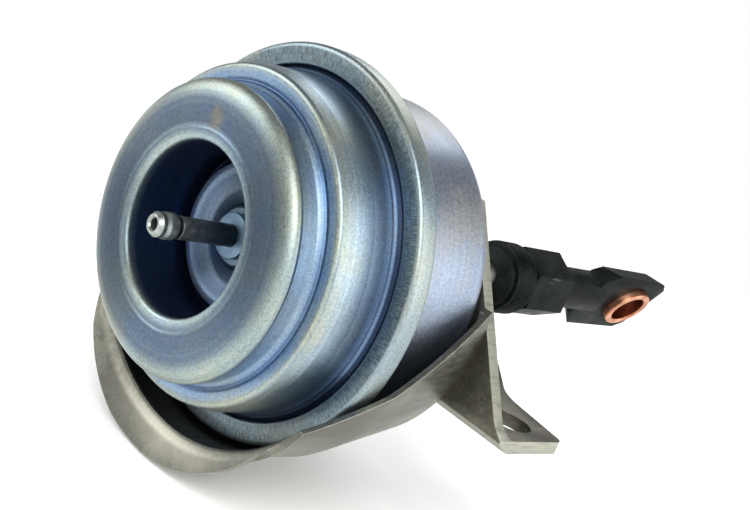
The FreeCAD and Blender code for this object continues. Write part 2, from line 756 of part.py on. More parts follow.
def rod_end():
    """Forged end: a hexagon sleeve on the rod's thread, a neck and a flat tab with an eye."""
    body = new_body("rod_end", D.eye_turn)
    sleeve = D.sleeve_back - D.nut_back
    pad_along(body, "sleeve", lambda sketch: draw_outline(sketch, hexagon(D.sleeve_flats)),
              D.nut_back, sleeve)
    pad_along(body, "neck", lambda sketch: draw_circle(sketch, 0, 0, D.neck_radius),
              D.sleeve_back, D.tab_front - D.sleeve_back + D.tab_chamfer)

    half = D.tab_width / 2
    cut = D.tab_chamfer
    tip = D.tab_tip
    sketch = new_sketch(body, "tab_outline", "YZ_Plane")
    draw_outline(sketch, [
        (D.tab_front, -half + cut), (D.tab_front + cut, -half), (D.tab_back - tip, -half),
        (D.tab_back, -half + tip), (D.tab_back, half - tip), (D.tab_back - tip, half),
        (D.tab_front + cut, half), (D.tab_front, half - cut),
    ])
    tab = body.newObject("PartDesign::Pad", "tab")
    tab.Profile = sketch
    tab.Midplane = True
    tab.setExpression("Length", D.tab_thickness.text)
    doc.recompute()

    before = body.Shape.Volume
    sketch = new_sketch(body, "eye_outline", "YZ_Plane")
    draw_circle(sketch, D.eye_reach, 0, D.eye_bush_radius + D.press_gap)
    eye = body.newObject("PartDesign::Pocket", "eye")
    eye.Profile = sketch
    eye.Midplane = True
    eye.setExpression("Length", (D.tab_thickness * 2).text)
    doc.recompute()
    need_less(body, before, "eye")
    bore = D.rod_radius + D.press_gap
    cut_along(body, "thread_hole", lambda sketch: draw_circle(sketch, 0, 0, bore),
              rod_end_hole + D.press_gap, D.thread_depth + D.press_gap)
    return body


def rod_end_bush():
    """Bush pressed in the eye, a little proud of the tab on both sides."""
    body = new_body("rod_end_bush", D.eye_turn)
    sketch = new_sketch(body, "ring_outline", "YZ_Plane")
    draw_circle(sketch, D.eye_reach, 0, D.eye_bush_radius)
    draw_circle(sketch, D.eye_reach, 0, D.eye_bore)
    ring = body.newObject("PartDesign::Pad", "ring")
    ring.Profile = sketch
    ring.Midplane = True
    ring.setExpression("Length", D.eye_bush_length.text)
    doc.recompute()
    return body


spigot_hole = D.spigot_radius + D.running_gap
washer_front = D.piston_front - D.washer_sheet
nut_back_face = nut_face + D.piston_nut_height

sub_parts = [
    front_can(),
    rear_can(),
    vacuum_nipple(),
    nipple_collar(),
    diaphragm(),
    diaphragm_piston(),
    washer("diaphragm_retainer", spigot_hole, D.retainer_radius, rubber_back, rod_shoulder),
    washer("piston_washer", spigot_hole, D.washer_radius, washer_front, D.piston_front),
    washer("travel_sleeve", spigot_hole, D.sleeve_radius, nut_back_face, washer_front),
    nut_on_axis("piston_nut", D.piston_nut_flats, D.spigot_radius + D.press_gap, nut_face, nut_back_face),
    return_spring(),
    spring_seat(),
    actuator_rod(),
    rod_guide_bush(),
    washer("bush_clip", D.bush_radius + D.press_gap, D.clip_radius, plate_back, plate_back + D.clip_sheet),
    rod_dust_seal(),
    mounting_studs(),
    stud_washers(),
    stud_nuts(),
    bracket(),
    heat_shield(),
    lock_nut(),
    rod_end(),
    rod_end_bush(),
]
doc.recompute()

for item in doc.Objects:
    if "Invalid" in item.State or "Error" in item.State:
        raise ValueError(f"{item.Name} did not compute: {item.State}")
for part in sub_parts:
    if part.Shape.isNull() or not part.Shape.isValid():
        raise ValueError(f"{part.Label} has no sound shape")

os.makedirs("parts", exist_ok=True)
for part in sub_parts:
    part.Shape.exportStep(f"parts/{part.Label}.step")
    box = part.Shape.BoundBox
    solids = len(part.Shape.Solids)
    print(f"{part.Label}: {solids} solid(s), {part.Shape.Volume:.1f} mm3,"
          f" {box.XLength:.2f} x {box.YLength:.2f} x {box.ZLength:.2f}")
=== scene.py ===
import math

import bmesh
import bpy
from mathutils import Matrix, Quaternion, Vector


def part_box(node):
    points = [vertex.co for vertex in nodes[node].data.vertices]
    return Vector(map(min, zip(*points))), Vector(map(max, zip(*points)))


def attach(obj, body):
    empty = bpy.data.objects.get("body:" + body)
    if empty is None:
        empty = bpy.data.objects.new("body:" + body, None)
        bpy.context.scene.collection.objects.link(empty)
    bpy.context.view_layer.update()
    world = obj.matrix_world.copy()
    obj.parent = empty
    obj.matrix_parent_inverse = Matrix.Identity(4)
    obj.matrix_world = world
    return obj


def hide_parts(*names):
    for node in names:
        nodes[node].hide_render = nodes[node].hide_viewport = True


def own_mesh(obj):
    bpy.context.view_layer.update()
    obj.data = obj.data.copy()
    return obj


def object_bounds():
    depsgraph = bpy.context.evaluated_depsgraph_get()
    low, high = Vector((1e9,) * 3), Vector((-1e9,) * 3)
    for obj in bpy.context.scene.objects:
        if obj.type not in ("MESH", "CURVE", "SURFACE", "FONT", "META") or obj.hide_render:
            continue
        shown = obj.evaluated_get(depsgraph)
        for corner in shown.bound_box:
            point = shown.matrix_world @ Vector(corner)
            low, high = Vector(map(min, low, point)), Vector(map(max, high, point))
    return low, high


# Vacuum actuator of a turbocharger: finishes, turned and pressed pieces, camera and studio.
# Sizes are written in millimetres and turned into metres where a mesh is made.

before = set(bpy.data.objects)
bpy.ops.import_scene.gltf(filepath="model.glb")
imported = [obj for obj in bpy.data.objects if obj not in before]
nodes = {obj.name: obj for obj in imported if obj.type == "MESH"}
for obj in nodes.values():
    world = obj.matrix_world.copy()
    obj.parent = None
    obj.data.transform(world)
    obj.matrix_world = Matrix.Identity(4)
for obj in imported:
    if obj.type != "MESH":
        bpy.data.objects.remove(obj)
cad_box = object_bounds()
MM = 0.001

# The can's axis and the middle of its rim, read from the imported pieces
RIM_FRONT = 2.5
can_low, can_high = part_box("rear_can")
AXIS_X = (can_low.x + can_high.x) / 2
AXIS_Z = (can_low.z + can_high.z) / 2
RIM_Y = can_low.y + RIM_FRONT * MM
AXIS = Vector((AXIS_X, RIM_Y, AXIS_Z))

# Camera, at the photograph's viewing angle
CAMERA_AZIMUTH = math.radians(41.563)
CAMERA_ELEVATION = math.radians(12.797)
CAMERA_ROLL = math.radians(22.908)
CAMERA_PLACE = Vector((0.13226, -0.19903, 0.07433))
FOCAL_PIXELS = 1400
PHOTO_WIDTH = 750
SENSOR_WIDTH = 36
CLIP_NEAR = 0.01
CLIP_FAR = 10

# The two cans
SKIN = 0.9
RIM_RADIUS = 35.0
RIM_BACK = 1.8
LIP_RADIUS = 31.0
BACK_RADIUS = 29.9
BACK_DEPTH = 22.0
MID_RADIUS = 29.4
MID_BACK_RADIUS = 29.8
MID_DEPTH = 14.2
NOSE_RADIUS = 25.25
NOSE_DEPTH = 21.5
NOSE_WALL = 24.9
NOSE_BEAD = 18.8
WELL_RADIUS = 14.7
WELL_FLOOR = 8.0
DISH_RADIUS = 13.8
DISH_MOUTH = 11.0
FACE_GROOVE = 17.0
GROOVE_DEPTH = 0.22
SHOULDER_RIDGE = 0.35
SHOULDER_ROOT = 25.4
BUSH_HOLE = 4.5
SHEET = 2.0
HOLE_REACH = 4.5
# The rolled nose edge, flatter across than along
EDGE_WIDE = 5.0
EDGE_DEEP = 2.5
# The dish on the well's floor as (radius, station, rounding), outside and behind
DISH_FRONT = ((5.6, -8.5, 0.6), (8.4, -8.5, 2.0), (11.6, -10.2, 1.4), (12.8, -10.0, 0.6), (13.3, -8.2, 0.4))
DISH_BACK = ((12.2, -9.0, 0), (11.4, -9.1, 0), (8.6, -7.6, 0), (5.2, -7.6, 0), (4.6, -8.7, 0))
# How far the edges of these pieces are eased
SHIELD_EASE = 0.22
BRACKET_EASE = 0.3
FORGED_EASE = 0.55

# The nipple and its collar
NIPPLE_REACH = 27.4
HEAD_RADIUS = 2.25
HEAD_LENGTH = 4.3
TUBE_RADIUS = 1.95
TUBE_HOLE = TUBE_RADIUS + 0.03
BORE_RADIUS = 1.0
TAIL_END = -7.9
COLLAR_RADIUS = 4.0
COLLAR_NECK = 2.9
COLLAR_FRONT = 11.0
COLLAR_SHEET = 0.8
BOSS_FRONT = 9.6

# Lock nut, rod end and its bush
NUT_FRONT = 58.0
NUT_SHOULDER = 59.6
NUT_BACK = 67.0
NUT_RADIUS = 7.45
NUT_RIDGES = 96
RIDGE_DEPTH = 0.22
RIDGE_HALF = 0.13
ROD_BORE = 3.02
EYE_REACH = 108.4
EYE_TURN = math.radians(29.3)
EYE_BUSH_RADIUS = 5.5
EYE_BORE = 4.0
EYE_BUSH_HALF = 4.0
EYE_BUSH_FAR = 2.6
# Corners of the rod end's flat tab: (station, half width) in the solid, then where the finished forging
# has them on the bush's near face and on its bevelled far face
TAB_CORNERS = (
    ((93.0, 6.0), (93.0, 6.0), (93.0, 4.4)),
    ((96.2, 9.2), (96.2, 9.0), (95.4, 6.1)),
    ((116.4, 9.2), (114.0, 8.5), (113.2, 6.1)),
    ((118.0, 7.6), (116.2, 6.6), (115.0, 4.5)),
)
CORNER_REACH = 0.1

# Turned pieces: steps round a turn, in a rounded corner and in the rolled nose edge, and the share of
# a side that one rounded corner may take
TURNED_SEGMENTS = 240
SMALL_SEGMENTS = 96
CORNER_STEPS = 6
EDGE_STEPS = 14
SIDE_SHARE = 0.49
# Angles in degrees past which an edge stays sharp, and below which faces count as one plane
TURNED_CREASE = 32
SHEET_CREASE = 38
WIRE_CREASE = 70
FLAT_ANGLE = 0.4
# Eased edges: the least angle in degrees, the steps and the material slot that marks them at first
BEVEL_ANGLE = 34
BEVEL_STEPS = 3
EASED_INDEX = 1
# Points closer than this many metres are joined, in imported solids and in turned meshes
MERGE_REACH = 2e-6
TINY_REACH = 1e-7
# Least lean of a face's normal towards the can, to a side of the bracket and to an end of its foot
INNER_LEAN = 0.35
SIDE_LEAN = 0.45
END_LEAN = 0.6
# Faces this close to the bore of the rod end's bush count as its bore
BORE_REACH = 0.03

# Zinc tints of the nose, as (share of the way, colour): along its walls from the nose to the rim, out
# over its face, over the shoulder, down the well and out over the dish on the well's floor. They hold painted
# highlights on the rolled edges, the well's lip, the crests and the drum, and painted shade in the grooves,
# at the roots of the steps, around the collar and deeper down the well
WALL_TINTS_AND_PAINTED_LIGHT = (
    (0.0, (0.36, 0.40, 0.35)), (0.10, (0.36, 0.40, 0.36)), (0.145, (0.12, 0.155, 0.19)),
    (0.24, (0.20, 0.27, 0.34)), (0.33, (0.30, 0.38, 0.46)), (0.38, (0.17, 0.25, 0.36)),
    (0.43, (0.41, 0.44, 0.39)), (0.50, (0.39, 0.44, 0.44)), (0.60, (0.34, 0.41, 0.44)),
    (0.70, (0.22, 0.28, 0.33)), (0.80, (0.13, 0.17, 0.22)), (0.87, (0.09, 0.13, 0.19)),
    (0.91, (0.16, 0.23, 0.34)), (0.942, (0.23, 0.33, 0.48)), (0.955, (0.04, 0.06, 0.11)),
    (0.975, (0.19, 0.26, 0.37)), (0.992, (0.03, 0.045, 0.08)),
)
FACE_TINTS_AND_PAINTED_LIGHT = (
    (0.57, (0.34, 0.40, 0.38)), (0.62, (0.27, 0.32, 0.33)), (0.655, (0.13, 0.17, 0.20)),
    (0.675, (0.17, 0.21, 0.235)), (0.70, (0.09, 0.115, 0.15)), (0.80, (0.10, 0.13, 0.168)),
    (0.86, (0.12, 0.15, 0.18)), (0.905, (0.21, 0.245, 0.24)), (0.95, (0.36, 0.40, 0.35)),
    (1.0, (0.42, 0.46, 0.40)),
)
SHOULDER_TINTS_AND_PAINTED_LIGHT = (
    (0.0, (0.10, 0.16, 0.26)), (0.25, (0.28, 0.37, 0.47)), (0.5, (0.30, 0.39, 0.48)),
    (0.8, (0.40, 0.43, 0.37)),
)
WELL_TINTS_AND_PAINTED_LIGHT = (
    (0.0, (0.34, 0.40, 0.38)), (0.045, (0.30, 0.36, 0.36)), (0.10, (0.10, 0.13, 0.17)),
    (0.17, (0.024, 0.042, 0.095)), (0.6, (0.018, 0.036, 0.085)), (1.0, (0.012, 0.022, 0.055)),
)
DISH_TINTS_AND_PAINTED_LIGHT = (
    (0.37, (0.20, 0.26, 0.31)), (0.41, (0.03, 0.045, 0.07)), (0.5, (0.07, 0.10, 0.15)),
    (0.64, (0.16, 0.20, 0.26)), (0.76, (0.12, 0.165, 0.235)), (0.84, (0.24, 0.32, 0.43)),
    (0.91, (0.40, 0.50, 0.62)), (0.95, (0.012, 0.018, 0.045)),
)
# Where the painted sheen on the spun face is brightest, in turns from the right towards the top
PAINTED_SHEEN_TURN = 0.314
# A straw-coloured bloom on the face, in metres: its middle, and how far it reaches and starts to fade
BLOOM_PLACE = (-0.0383, -0.0549, 0.0347)
BLOOM_END = 0.0046
BLOOM_START = 0.0026
BLOOM_TINT = (0.30, 0.26, 0.16, 1)
ZINC_FILM = {"cool": (0.9, 1.0, 1.12, 1), "warm": (1.07, 1.06, 0.99, 1), "shade": (0.72, 0.76, 0.88, 1)}
# Tints of the back can: its scratched rim face, the rim's edge and the drum
RIM_SCRATCHED = ((0.11, 0.135, 0.14, 1), (0.26, 0.30, 0.29, 1))
RIM_EDGE_TINT = (0.33, 0.37, 0.36, 1)
DRUM_TINT = (0.31, 0.33, 0.375, 1)
# Tints along the nipple, from its mouth to the well's floor, with painted shade in the groove behind the head
# and painted shade that deepens towards the well's floor
TUBE_TINTS_AND_PAINTED_SHADE = (
    (0.0, (0.42, 0.45, 0.43)), (0.06, (0.24, 0.27, 0.27)), (0.1, (0.46, 0.51, 0.51)),
    (0.205, (0.34, 0.39, 0.41)), (0.225, (0.03, 0.035, 0.04)), (0.25, (0.03, 0.035, 0.04)),
    (0.27, (0.33, 0.36, 0.36)), (0.42, (0.20, 0.235, 0.25)), (0.6, (0.07, 0.09, 0.11)),
    (0.8, (0.018, 0.026, 0.036)),
)
# The shield's inner side: a painted highlight on its crest, and painted shade from there on towards the can,
# with the stations they fade between
CREST_HIGHLIGHT_TINT = (0.45, 0.44, 0.37, 1)
CREST_FRONT = (-10.9, -10.1)
CREST_BACK = (-9.1, -9.6)
INNER_SHADE_TINT = (0.012, 0.012, 0.011, 1)
INNER_SHADE_START = (-9.8, -8.2)
# Scales of the noises, in features per metre
BROAD_SCALE = 22.0
CLOUD_SCALE = 55.0
GRAIN_SCALE = 2600.0
LINE_SCALE = 1900.0
PATCH_SCALE = 90.0
SPOT_SCALE = 420.0
GLOW_SCALE = 60.0
BLOOM_SCALE = 700.0
SHEET_GRAIN_SCALE = 1500.0
SHEET_CLOUD_SCALE = 70.0
STEEL_CLOUD_SCALE = 260.0
FILM_SCALE = 900.0
BLACK_CLOUD_SCALE = 240.0
FORGED_SCALE = 1500.0
MOULD_BLOOM_SCALE = 180.0
MOULD_GRAIN_SCALE = 3000.0
# Marks and films on several finishes
ZINC_STAIN = (0.04, 0.045, 0.05)
ZINC_SCRATCH = (0.5, 0.53, 0.5)
STEEL_STAIN = (0.04, 0.04, 0.04, 1)
SHEET_STAIN = (0.05, 0.047, 0.04, 1)
SHEET_SCRATCH = (0.5, 0.49, 0.43, 1)
RUBBED_BLACK = (0.2, 0.21, 0.2, 1)
OIL_SHEEN = 0.25
BLACK_ROUGHNESS = 0.38
OIL_TINT = (0.38, 0.41, 0.40, 1)

# Studio: the floor's size and depth in metres, its brightness as seen and as lit, the room's brightness,
# and the share of it that reflections show at the top and on the left
FLOOR_SIZE = 4
FLOOR_DROP = 0.0005
FLOOR_SEEN = 1.25
FLOOR_LIT = 0.7
FLOOR_FADE = (0.12, 0.5)
ROOM_LIGHT = 0.42
ROOM_TOP = 0.25
ROOM_LEFT = 0.35
# Lights as (name, place, power, size), aimed at the target
TARGET = Vector((-0.03, -0.02, 0.01))
LIGHTS = (
    ("key", (0.45, -0.50, 0.50), 5, 0.65),
    ("fill", (-0.55, -0.45, 0.30), 2, 0.5),
    ("rim", (-0.35, 0.45, 0.5), 1.2, 0.4),
    ("side", (0.52, 0.30, 0.20), 2.3, 0.7),
)


def make_camera():
    back = Vector((math.sin(CAMERA_AZIMUTH) * math.cos(CAMERA_ELEVATION),
                   -math.cos(CAMERA_AZIMUTH) * math.cos(CAMERA_ELEVATION),
                   math.sin(CAMERA_ELEVATION)))
    level = back.to_track_quat("Z", "Y")
    data = bpy.data.cameras.new("camera")
    data.sensor_width = SENSOR_WIDTH
    data.lens = FOCAL_PIXELS / PHOTO_WIDTH * SENSOR_WIDTH
    data.clip_start = CLIP_NEAR
    data.clip_end = CLIP_FAR
    camera = bpy.data.objects.new("camera", data)
    camera.rotation_mode = "QUATERNION"
    camera.rotation_quaternion = level @ Quaternion((0, 0, 1), CAMERA_ROLL)
    camera.location = CAMERA_PLACE
    bpy.context.scene.collection.objects.link(camera)
    bpy.context.scene.camera = camera


def link_object(name, mesh):
    piece = bpy.data.objects.new(name, mesh)
    bpy.context.scene.collection.objects.link(piece)
    return piece


# Shader groups that several finishes share, and the mix node's colour sockets

COLOR_FIRST = 6
COLOR_SECOND = 7
COLOR_RESULT = 2


def new_group(name, inputs, outputs):
    """An empty shader group with its named sockets; inputs are (name, kind, value)."""
    group = bpy.data.node_groups.new(name, "ShaderNodeTree")
    for label, kind, value in inputs:
        socket = group.interface.new_socket(name=label, in_out="INPUT", socket_type="NodeSocket" + kind)
        if value is not None:
            socket.default_value = value
    for label, kind in outputs:
        group.interface.new_socket(name=label, in_out="OUTPUT", socket_type="NodeSocket" + kind)
    source = group.nodes.new("NodeGroupInput")
    sink = group.nodes.new("NodeGroupOutput")
    return group, source.outputs, sink.inputs


class Wiring:
    """Adds nodes to one tree and joins them."""

    def __init__(self, tree):
        self.tree = tree

    def set(self, socket, value):
        if isinstance(value, bpy.types.NodeSocket):
            self.tree.links.new(value, socket)
        else:
            socket.default_value = value

    def math(self, operation, first, second=0.0, third=0.0):
        node = self.tree.nodes.new("ShaderNodeMath")
        node.operation = operation
        for socket, value in zip(node.inputs, (first, second, third)):
            self.set(socket, value)
        return node.outputs[0]

    def vector(self, x, y, z):
        node = self.tree.nodes.new("ShaderNodeCombineXYZ")
        for socket, value in zip(node.inputs, (x, y, z)):
            self.set(socket, value)
        return node.outputs[0]

    def noise(self, vector, scale, detail, roughness=0.5):
        node = self.tree.nodes.new("ShaderNodeTexNoise")
        self.set(node.inputs["Vector"], vector)
        self.set(node.inputs["Scale"], scale)
        self.set(node.inputs["Detail"], detail)
        self.set(node.inputs["Roughness"], roughness)
        return node.outputs["Fac"]

    def span(self, value, low, high, to_low=0.0, to_high=1.0):
        node = self.tree.nodes.new("ShaderNodeMapRange")
        node.interpolation_type = "SMOOTHSTEP"
        for label, item in (("Value", value), ("From Min", low), ("From Max", high),
                            ("To Min", to_low), ("To Max", to_high)):
            self.set(node.inputs[label], item)
        return node.outputs["Result"]

    def blend(self, factor, first, second, kind="MIX"):
        node = self.tree.nodes.new("ShaderNodeMix")
        node.data_type = "RGBA"
        node.blend_type = kind
        self.set(node.inputs["Factor"], factor)
        self.set(node.inputs[COLOR_FIRST], first)
        self.set(node.inputs[COLOR_SECOND], second)
        return node.outputs[COLOR_RESULT]

    def ramp(self, value, stops):
        node = self.tree.nodes.new("ShaderNodeValToRGB")
        elements = node.color_ramp.elements
        while len(elements) < len(stops):
            elements.new(0.5)
        for element, (place, color) in zip(elements, stops):
            element.position = place
            element.color = (*color, 1)
        self.set(node.inputs[0], value)
        return node.outputs[0]

    def grey(self, level):
        return self.vector(level, level, level)

    def object_place(self):
        return self.tree.nodes.new("ShaderNodeTexCoord").outputs["Object"]

    def stretched(self, vector, scale, rotation=(0.0, 0.0, 0.0)):
        node = self.tree.nodes.new("ShaderNodeMapping")
        node.inputs["Scale"].default_value = scale
        node.inputs["Rotation"].default_value = rotation
        self.set(node.inputs["Vector"], vector)
        return node.outputs[0]

    def marked(self, label):
        """1 on the faces that mark_faces marked with this label."""
        node = self.tree.nodes.new("ShaderNodeAttribute")
        node.attribute_name = label
        return node.outputs["Fac"]

    def use(self, group, **values):
        node = self.tree.nodes.new("ShaderNodeGroup")
        node.node_tree = group
        for label, value in values.items():
            self.set(node.inputs[label.replace("_", " ").capitalize()], value)
        return node.outputs


def axis_group():
    """Radius, station and turn of a point about the can's axis, in millimetres and turns."""
    group, given, out = new_group("about_the_axis", [("Place", "Vector", None)],
                                  [("Radius", "Float"), ("Station", "Float"), ("Turn", "Float")])
    wires = Wiring(group)
    split = group.nodes.new("ShaderNodeSeparateXYZ")
    wires.set(split.inputs[0], given["Place"])
    across = wires.math("MULTIPLY", wires.math("SUBTRACT", split.outputs[0], AXIS.x), 1 / MM)
    up = wires.math("MULTIPLY", wires.math("SUBTRACT", split.outputs[2], AXIS.z), 1 / MM)
    along = wires.math("MULTIPLY", wires.math("SUBTRACT", split.outputs[1], AXIS.y), 1 / MM)
    square = wires.math("ADD", wires.math("MULTIPLY", across, across), wires.math("MULTIPLY", up, up))
    wires.set(out["Radius"], wires.math("SQRT", square))
    wires.set(out["Station"], along)
    wires.set(out["Turn"], wires.math("DIVIDE", wires.math("ARCTAN2", up, across), 2 * math.pi))
    return group


def turned_group():
    """Fine rings left by spinning and drawing a sheet, with their spread over the surface."""
    group, given, out = new_group("drawing_rings", [("Place", "Vector", None), ("Fineness", "Float", 2.2)],
                                  [("Rings", "Float")])
    wires = Wiring(group)
    place = wires.use(GROUPS["axis"], place=given["Place"])
    rings = wires.vector(place["Radius"], place["Station"], wires.math("MULTIPLY", place["Turn"], 0.6))
    wires.set(out["Rings"], wires.noise(rings, given["Fineness"], 5.0, 0.62))
    return group


def plating_group():
    """Passivated plating: cool and warm clouds, dark grains and faint blooms."""
    group, given, out = new_group("plating", [
        ("Place", "Vector", None), ("Cool", "Color", (0.2, 0.25, 0.32, 1)),
        ("Warm", "Color", (0.3, 0.3, 0.27, 1)), ("Shade", "Color", (0.12, 0.14, 0.2, 1)),
        ("Rings", "Float", 0.5)], [("Color", "Color"), ("Roughness", "Float"), ("Height", "Float")])
    wires = Wiring(group)
    clouds = wires.noise(given["Place"], CLOUD_SCALE, 5.0, 0.6)
    broad = wires.noise(given["Place"], BROAD_SCALE, 3.0, 0.5)
    grain = wires.noise(given["Place"], GRAIN_SCALE, 3.0, 0.6)
    tone = wires.blend(wires.span(clouds, 0.42, 0.62), given["Cool"], given["Warm"])
    tone = wires.blend(wires.span(broad, 0.5, 0.66, 0.0, 0.55), tone, given["Shade"])
    streaks = wires.span(given["Rings"], 0.35, 0.68, 0.92, 1.07)
    speckle = wires.span(grain, 0.3, 0.68, 0.8, 1.17)
    light = wires.math("MULTIPLY", streaks, speckle)
    wires.set(out["Color"], wires.blend(1.0, tone, wires.grey(light), "MULTIPLY"))
    wires.set(out["Roughness"], wires.math("ADD", wires.span(clouds, 0.35, 0.65, 0.0, 0.1),
                                           wires.span(grain, 0.3, 0.7, 0.0, 0.08)))
    wires.set(out["Height"], wires.math("ADD", wires.math("MULTIPLY", given["Rings"], 0.4),
                                        wires.math("MULTIPLY", grain, 0.5)))
    return group


def wear_group():
    """Handling marks: short scratches and small dark stains."""
    group, given, out = new_group("handling_marks", [("Place", "Vector", None), ("Amount", "Float", 0.4)],
                                  [("Scratches", "Float"), ("Stains", "Float")])
    wires = Wiring(group)
    drawn = wires.stretched(given["Place"], (1.0, 0.12, 0.5), (0.3, 0.2, 0.6))
    lines = wires.noise(drawn, LINE_SCALE, 2.0, 0.4)
    sparse = wires.span(wires.noise(given["Place"], PATCH_SCALE, 2.0), 0.5, 0.68)
    marks = wires.math("MULTIPLY", wires.span(lines, 0.66, 0.74), sparse)
    wires.set(out["Scratches"], wires.math("MULTIPLY", marks, given["Amount"]))
    spots = wires.span(wires.noise(given["Place"], SPOT_SCALE, 3.0, 0.7), 0.68, 0.78)
    wires.set(out["Stains"], wires.math("MULTIPLY", spots, given["Amount"]))
    return group


GROUPS = {"axis": axis_group()}
GROUPS["turned"] = turned_group()
GROUPS["plating"] = plating_group()
GROUPS["wear"] = wear_group()


def new_material(name, metallic, coat=0.0):
    material = bpy.data.materials.new(name)
    material.use_nodes = True
    shader = material.node_tree.nodes["Principled BSDF"]
    shader.inputs["Metallic"].default_value = metallic
    shader.inputs["Coat Weight"].default_value = coat
    return material, Wiring(material.node_tree), shader


def rough_bump(wires, shader, height, strength, depth):
    """Relief from height; its depth is in millimetres."""
    bump = wires.tree.nodes.new("ShaderNodeBump")
    bump.inputs["Strength"].default_value = strength
    bump.inputs["Distance"].default_value = depth * MM
    wires.set(bump.inputs["Height"], height)
    wires.set(shader.inputs["Normal"], bump.outputs[0])


def zinc_finish(name, roughness):
    """Zinc plating: a tint to be laid in, clouds of cool and warm film, and small marks."""
    material, wires, shader = new_material(name, 0.92)
    place = wires.object_place()
    rings = wires.use(GROUPS["turned"], place=place)["Rings"]
    plate = wires.use(GROUPS["plating"], place=place, rings=rings, **ZINC_FILM)
    wires.set(shader.inputs["Roughness"], wires.math("ADD", plate["Roughness"], roughness))
    return material, wires, shader, place, plate


def lay_tint(wires, shader, place, plate, tint, scratch):
    """The tint under the plating's clouds, with scratches and stains on top."""
    marks = wires.use(GROUPS["wear"], place=place, amount=0.4)
    color = wires.blend(1.0, tint, plate["Color"], "MULTIPLY")
    color = wires.blend(marks["Scratches"], color, (*scratch, 1))
    color = wires.blend(marks["Stains"], color, (*ZINC_STAIN, 1))
    wires.set(shader.inputs["Base Color"], color)


def front_zinc():
    """The nose: a slate face and a blue shoulder, with straw painted highlights on the rolled edges, a pale
    painted highlight band on the drum and painted shade that darkens the well to navy.
    """
    material, wires, shader, place, plate = zinc_finish("zinc_nose", 0.33)
    about = wires.use(GROUPS["axis"], place=place)
    radius, station = about["Radius"], about["Station"]
    reach = NOSE_DEPTH - RIM_FRONT
    from_nose = wires.math("ADD", station, NOSE_DEPTH)
    # These tint tables paint highlights on the rolled edges and crests, and paint shade in grooves, at step
    # roots and down the well
    walls = wires.ramp(wires.math("DIVIDE", from_nose, reach), WALL_TINTS_AND_PAINTED_LIGHT)
    face = wires.ramp(wires.math("DIVIDE", radius, NOSE_RADIUS), FACE_TINTS_AND_PAINTED_LIGHT)
    well = wires.ramp(wires.math("DIVIDE", from_nose, NOSE_DEPTH - WELL_FLOOR), WELL_TINTS_AND_PAINTED_LIGHT)
    dish = wires.ramp(wires.math("DIVIDE", radius, DISH_RADIUS), DISH_TINTS_AND_PAINTED_LIGHT)
    shoulder = wires.ramp(wires.span(radius, SHOULDER_ROOT, MID_RADIUS), SHOULDER_TINTS_AND_PAINTED_LIGHT)
    on_face = wires.math("MULTIPLY", wires.span(station, -NOSE_DEPTH + 1.4, -NOSE_DEPTH + 0.5),
                         wires.span(radius, NOSE_RADIUS, NOSE_RADIUS - 0.8))
    on_shoulder = wires.math("MULTIPLY", wires.span(radius, SHOULDER_ROOT, SHOULDER_ROOT + 0.2),
                             wires.span(station, -MID_DEPTH + 0.5, -MID_DEPTH + 0.2))
    in_well = wires.math("MULTIPLY", wires.span(radius, WELL_RADIUS + 1.5, WELL_RADIUS + 0.8),
                         wires.span(station, -NOSE_DEPTH + 0.1, -NOSE_DEPTH + 0.4))
    in_dish = wires.math("MULTIPLY", wires.span(radius, DISH_RADIUS - 0.3, DISH_RADIUS - 0.5),
                         wires.span(station, -DISH_MOUTH - 1.0, -DISH_MOUTH))
    tint = wires.blend(on_shoulder, walls, shoulder)
    for mask, tints in ((on_face, face), (in_well, well), (in_dish, dish)):
        tint = wires.blend(mask, tint, tints)
    # Painted sheen on the face: the bright bow-tie of turned metal, brightest twice in each turn about the
    # axis
    turned = wires.math("SUBTRACT", about["Turn"], PAINTED_SHEEN_TURN)
    painted_sheen = wires.math("COSINE", wires.math("MULTIPLY", turned, 4 * math.pi))
    painted_sheen = wires.math("ADD", painted_sheen, wires.noise(place, GLOW_SCALE, 4.0))
    glow = wires.span(painted_sheen, -0.8, 1.8, 0.66, 1.4)
    glow = wires.blend(on_face, (1.0, 1.0, 1.0, 1), wires.grey(glow))
    tint = wires.blend(1.0, tint, glow, "MULTIPLY")
    away = wires.tree.nodes.new("ShaderNodeVectorMath")
    away.operation = "DISTANCE"
    wires.set(away.inputs[0], place)
    wires.set(away.inputs[1], BLOOM_PLACE)
    ragged = wires.math("ADD", away.outputs["Value"],
                        wires.math("MULTIPLY", wires.noise(place, BLOOM_SCALE, 4.0, 0.7), 0.004))
    bloom = wires.span(ragged, BLOOM_END, BLOOM_START, 0.0, 0.6)
    tint = wires.blend(bloom, tint, BLOOM_TINT)
    lay_tint(wires, shader, place, plate, tint, ZINC_STAIN)
    rough_bump(wires, shader, plate["Height"], 0.4, 0.03)
    return material


